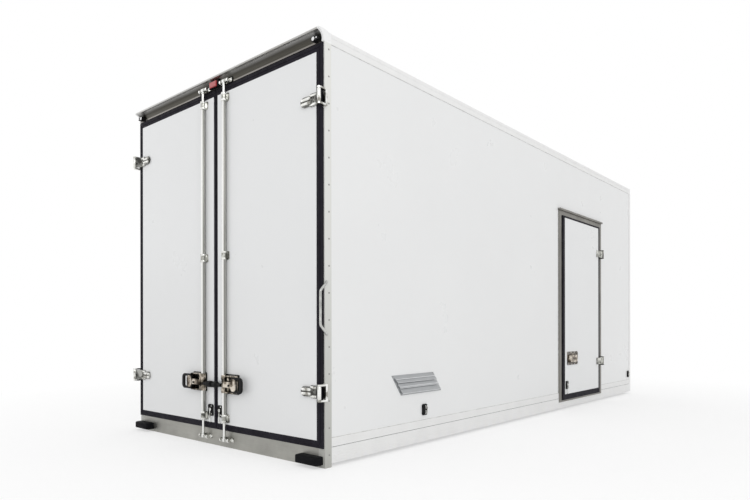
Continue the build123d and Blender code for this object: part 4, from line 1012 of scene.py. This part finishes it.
def vent_trim():
    """Hemmed lips along the slats' lower edges, in a lighter copy of the vent's
    aluminium as a painted highlight, and a screw at each corner.
    """
    low, high = box("vent_louvre")
    top = high[2] - VENT_BORDER
    pitch = (top - low[2] - VENT_BORDER) / 3
    x = high[0] - 0.0034

    def lip(z, radius, short):
        start = low[1] + VENT_BORDER + VENT_LEAN * (high[2] - z)
        end = start + VENT_LENGTH - 2 * VENT_BORDER - short
        return bar(radius, [(x, start + 0.002, z), (x, end, z)], UP, 10)

    # The lips' light tone is a painted highlight along the slats' lower edges, laid over the
    # shade under each step.
    shells = [lip(top - pitch * (i + 1) + 0.001, 0.0034, 0.002) for i in range(3)]
    for share in (0.19, 0.57):
        shells.append(lip(high[2] - share * (high[2] - low[2]), 0.003, 0.004))
    piece("vent_lips", shells, VENT_HIGHLIGHT_LIP, "box_body")
    inset = 0.007
    places = []
    for z in (high[2] - inset, low[2] + inset):
        start = low[1] + VENT_LEAN * (high[2] - z)
        places += [(WALL_FACE + 0.003, start + inset + 0.004, z),
                   (WALL_FACE + 0.003, start + VENT_LENGTH - inset - 0.004, z)]
    rivets("vent_screws", places, (1, 0, 0), SCREW_STEEL, "box_body",
           4.2, 2)


def side_lock():
    """A pressed pan with a hinged paddle, a barrel and rivets round its rim."""
    low, high = box("side_door_lock")
    middle = (low + high) / 2
    tall, wide = (high[2] - low[2]) / 2, (high[1] - low[1]) / 2
    place = (SIDE_FACE, middle[1], middle[2])
    half = (wide / MM, tall / MM)
    pan = [(0, 10, 0), (0, 10, 4), (2, 9, 6), (16, 12, 6), (22, 14, 2.5), (60, 45, 10, 2.5)]
    shell = pressed(place, (0, 1, 0), UP, half, pan)
    piece("side_lock_pan", [shell], SIDE_LOCK, "side_door", ["side_door_lock"])
    half = (half[0] - 36, half[1] - 34)
    paddle = [(0, 10, 2), (0, 10, 16), (3, 9, 21), (10, 6, 23.5), (44, 21, 6, 20.5)]
    barrel = [(9, 1), (9, 8), (7.5, 9.5), (3, 9.5), (2.8, 7)]
    shells = [
        pressed(place, (0, 1, 0), UP, half, paddle, (0, -4)),
        turned((SIDE_FACE, high[1] - 0.024, middle[2]), (1, 0, 0), barrel, around=20),
    ]
    piece("side_lock_paddle", shells, LEVER_STEEL, "side_door")
    rim = 0.009
    places = [(SIDE_FACE + 0.006, middle[1] + u * (wide - rim), middle[2] + v * (tall - rim))
              for u in (-1, -0.33, 0.33, 1) for v in (-1, 1)]
    rivets("side_lock_rivets", places, (1, 0, 0), BRIGHT, "side_door", 5)


def frame_edges():
    """The side frame's folded edges: a bright bead up both jambs and a dark gutter lip,
    whose darkness is painted shade along the gutter.
    """
    low, high = SIDE_FRAME
    x = WALL_FACE + 0.0012
    foot, head = BOTTOM_RAIL[1][2] + 0.002, SIDE_LEAF[1][2] + 0.030
    shells = [bar(0.0038, [(x, y, foot), (x, y, head)], SIDEWAYS)
              for y in (low[1] + 0.003, high[1] - 0.003)]
    piece("side_frame_edges", shells, BAR_STEEL, "box_body")
    # Painted shade: the dark lip along the gutter's edge.
    x, z = high[0] - 0.0042, high[2] - 0.0042
    shell = bar(0.004, [(x, low[1] + 0.002, z), (x, high[1] - 0.002, z)], UP, 10)
    piece("gutter_shade_lip", [shell], DARK_STEEL, "box_body")


def seal_beads():
    """A raised bead along each rear seal's fin, below, outside and above the leaf."""
    for side, sign in SIDES:
        low, high = box(f"{side}_door_seal")
        leaf = box(f"{side}_door_panel")
        y = low[1] - 0.0003
        inner = min(abs(leaf[0][0]), abs(leaf[1][0])) - 0.011
        outer = max(abs(leaf[0][0]), abs(leaf[1][0]))
        step = (max(abs(low[0]), abs(high[0])) - outer) * 0.5
        foot, head = leaf[0][2] - step, leaf[1][2] + step
        corners = [(sign * x, y, z) for x, z in (
            (inner, foot), (outer + step, foot), (outer + step, head), (inner, head))]
        runs = [bar(0.0035, run, REARWARD, 10) for run in zip(corners, corners[1:])]
        piece(f"{side}_seal_bead", runs, SEAL, f"{side}_door")


post_rivets()
sealant_and_shadow_beads()
for side, sign in SIDES:
    rod_piece(side, sign)
    guide_pieces(side, sign)
    lock_pieces(side, sign)
    handle_pieces(side, sign)
    rear_hinges(side, sign)
    hook_piece(side, (1, DOOR_FACE), SIDEWAYS, REARWARD)
keepers()
cap_returns()
bumpers()
grab_bar()
lamps()
wall_catches()
vent_trim()
side_lock()
frame_edges()
hook_piece("side", (0, SIDE_FACE), (0, 1, 0), (1, 0, 0))
seal_beads()


# Stage, light and camera

def seen_by(tree, *rays):
    """1 for a ray of one of the kinds named, and 0 for others."""
    path = add(tree, "LightPath")
    value = path.outputs[rays[0]]
    for ray in rays[1:]:
        links = {0: value, 1: path.outputs[ray]}
        value = add(tree, "Math", links, operation="MAXIMUM").outputs[0]
    return value


def stage_floor():
    """A pale floor that takes the shadow near the object and fades to white far off."""
    size = 60.0
    corners = [(-size, -size, 0), (size, -size, 0), (size, size, 0), (-size, size, 0)]
    mesh = bpy.data.meshes.new("stage_floor")
    mesh.from_pydata(corners, [], [(0, 1, 2, 3)])
    floor = bpy.data.objects.new("stage_floor", mesh)
    bpy.context.scene.collection.objects.link(floor)
    material = bpy.data.materials.new("stage_floor")
    material.use_nodes = True
    tree = material.node_tree
    tree.nodes.clear()
    diffuse = add(tree, "BsdfDiffuse", values={0: (0.96, 0.96, 0.96, 1)})
    white = add(tree, "Emission", values={1: 1.0})
    length = add(tree, "VectorMath", {0: coordinates(tree)}, operation="LENGTH")
    values = {"From Min": 3.2, "From Max": 6.0, "To Min": 0.55}
    far = add(tree, "MapRange", {"Value": length.outputs["Value"]}, values)
    seen = seen_by(tree, "Is Camera Ray", "Is Glossy Ray")
    share = add(tree, "Math", {0: seen, 1: far.outputs[0]}, operation="MULTIPLY")
    links = {0: share.outputs[0], 1: diffuse.outputs[0], 2: white.outputs[0]}
    mix = add(tree, "MixShader", links)
    add(tree, "OutputMaterial", {0: mix.outputs[0]})
    mesh.materials.append(material)


def white_world(level):
    """White behind the object and in its reflections, and a plain level on it."""
    world = bpy.data.worlds.new("studio")
    bpy.context.scene.world = world
    world.use_nodes = True
    tree = world.node_tree
    tree.nodes.clear()
    light = add(tree, "Background", values={0: (1, 1, 1, 1), 1: level})
    backdrop = add(tree, "Background", values={0: (1, 1, 1, 1)})
    seen = seen_by(tree, "Is Camera Ray", "Is Glossy Ray", "Is Transmission Ray")
    mix = add(tree, "MixShader", {0: seen, 1: light.outputs[0], 2: backdrop.outputs[0]})
    add(tree, "OutputWorld", {0: mix.outputs[0]})


def soft_light(name, place, target, power):
    """A lamp of 6 by 4 m that is turned to a target."""
    lamp = bpy.data.lights.new(name, "AREA")
    lamp.shape = "RECTANGLE"
    lamp.size, lamp.size_y = 6, 4
    lamp.energy = power
    lit = bpy.data.objects.new(name, lamp)
    bpy.context.scene.collection.objects.link(lit)
    lit.location = place
    aim = Vector(target) - Vector(place)
    lit.rotation_euler = aim.to_track_quat("-Z", "Y").to_euler()


def camera():
    """The photograph's view: behind and to the right, level, at about eye height."""
    turn = math.radians(41.0)
    roll = math.radians(-0.068)
    place = Vector((3.9905, -5.6543, 0.9157))
    right = Vector((math.cos(turn), math.sin(turn), 0))
    back = Vector((math.sin(turn), -math.cos(turn), 0))
    axes = Matrix((right, Vector((0, 0, 1)), back)).transposed()
    data = bpy.data.cameras.new("photo_view")
    data.lens = 28.667
    data.sensor_width = 36.0
    data.shift_y = 0.1038
    data.clip_end = 300
    made = bpy.data.objects.new("photo_view", data)
    bpy.context.scene.collection.objects.link(made)
    rolled = axes @ Matrix.Rotation(roll, 3, "Z")
    made.matrix_world = Matrix.Translation(place) @ rolled.to_4x4()
    bpy.context.scene.camera = made


bpy.context.scene.view_settings.view_transform = "Standard"
stage_floor()
white_world(0.87)
soft_light("key_light", (7.5, -7.0, 6.5), (0, 0, 1.4), 140)
soft_light("fill_light", (-7.0, -6.0, 4.0), (0, -1, 1.2), 22)
soft_light("front_light", (-3.0, 9.0, 5.0), (0, 1, 1.4), 60)
camera()
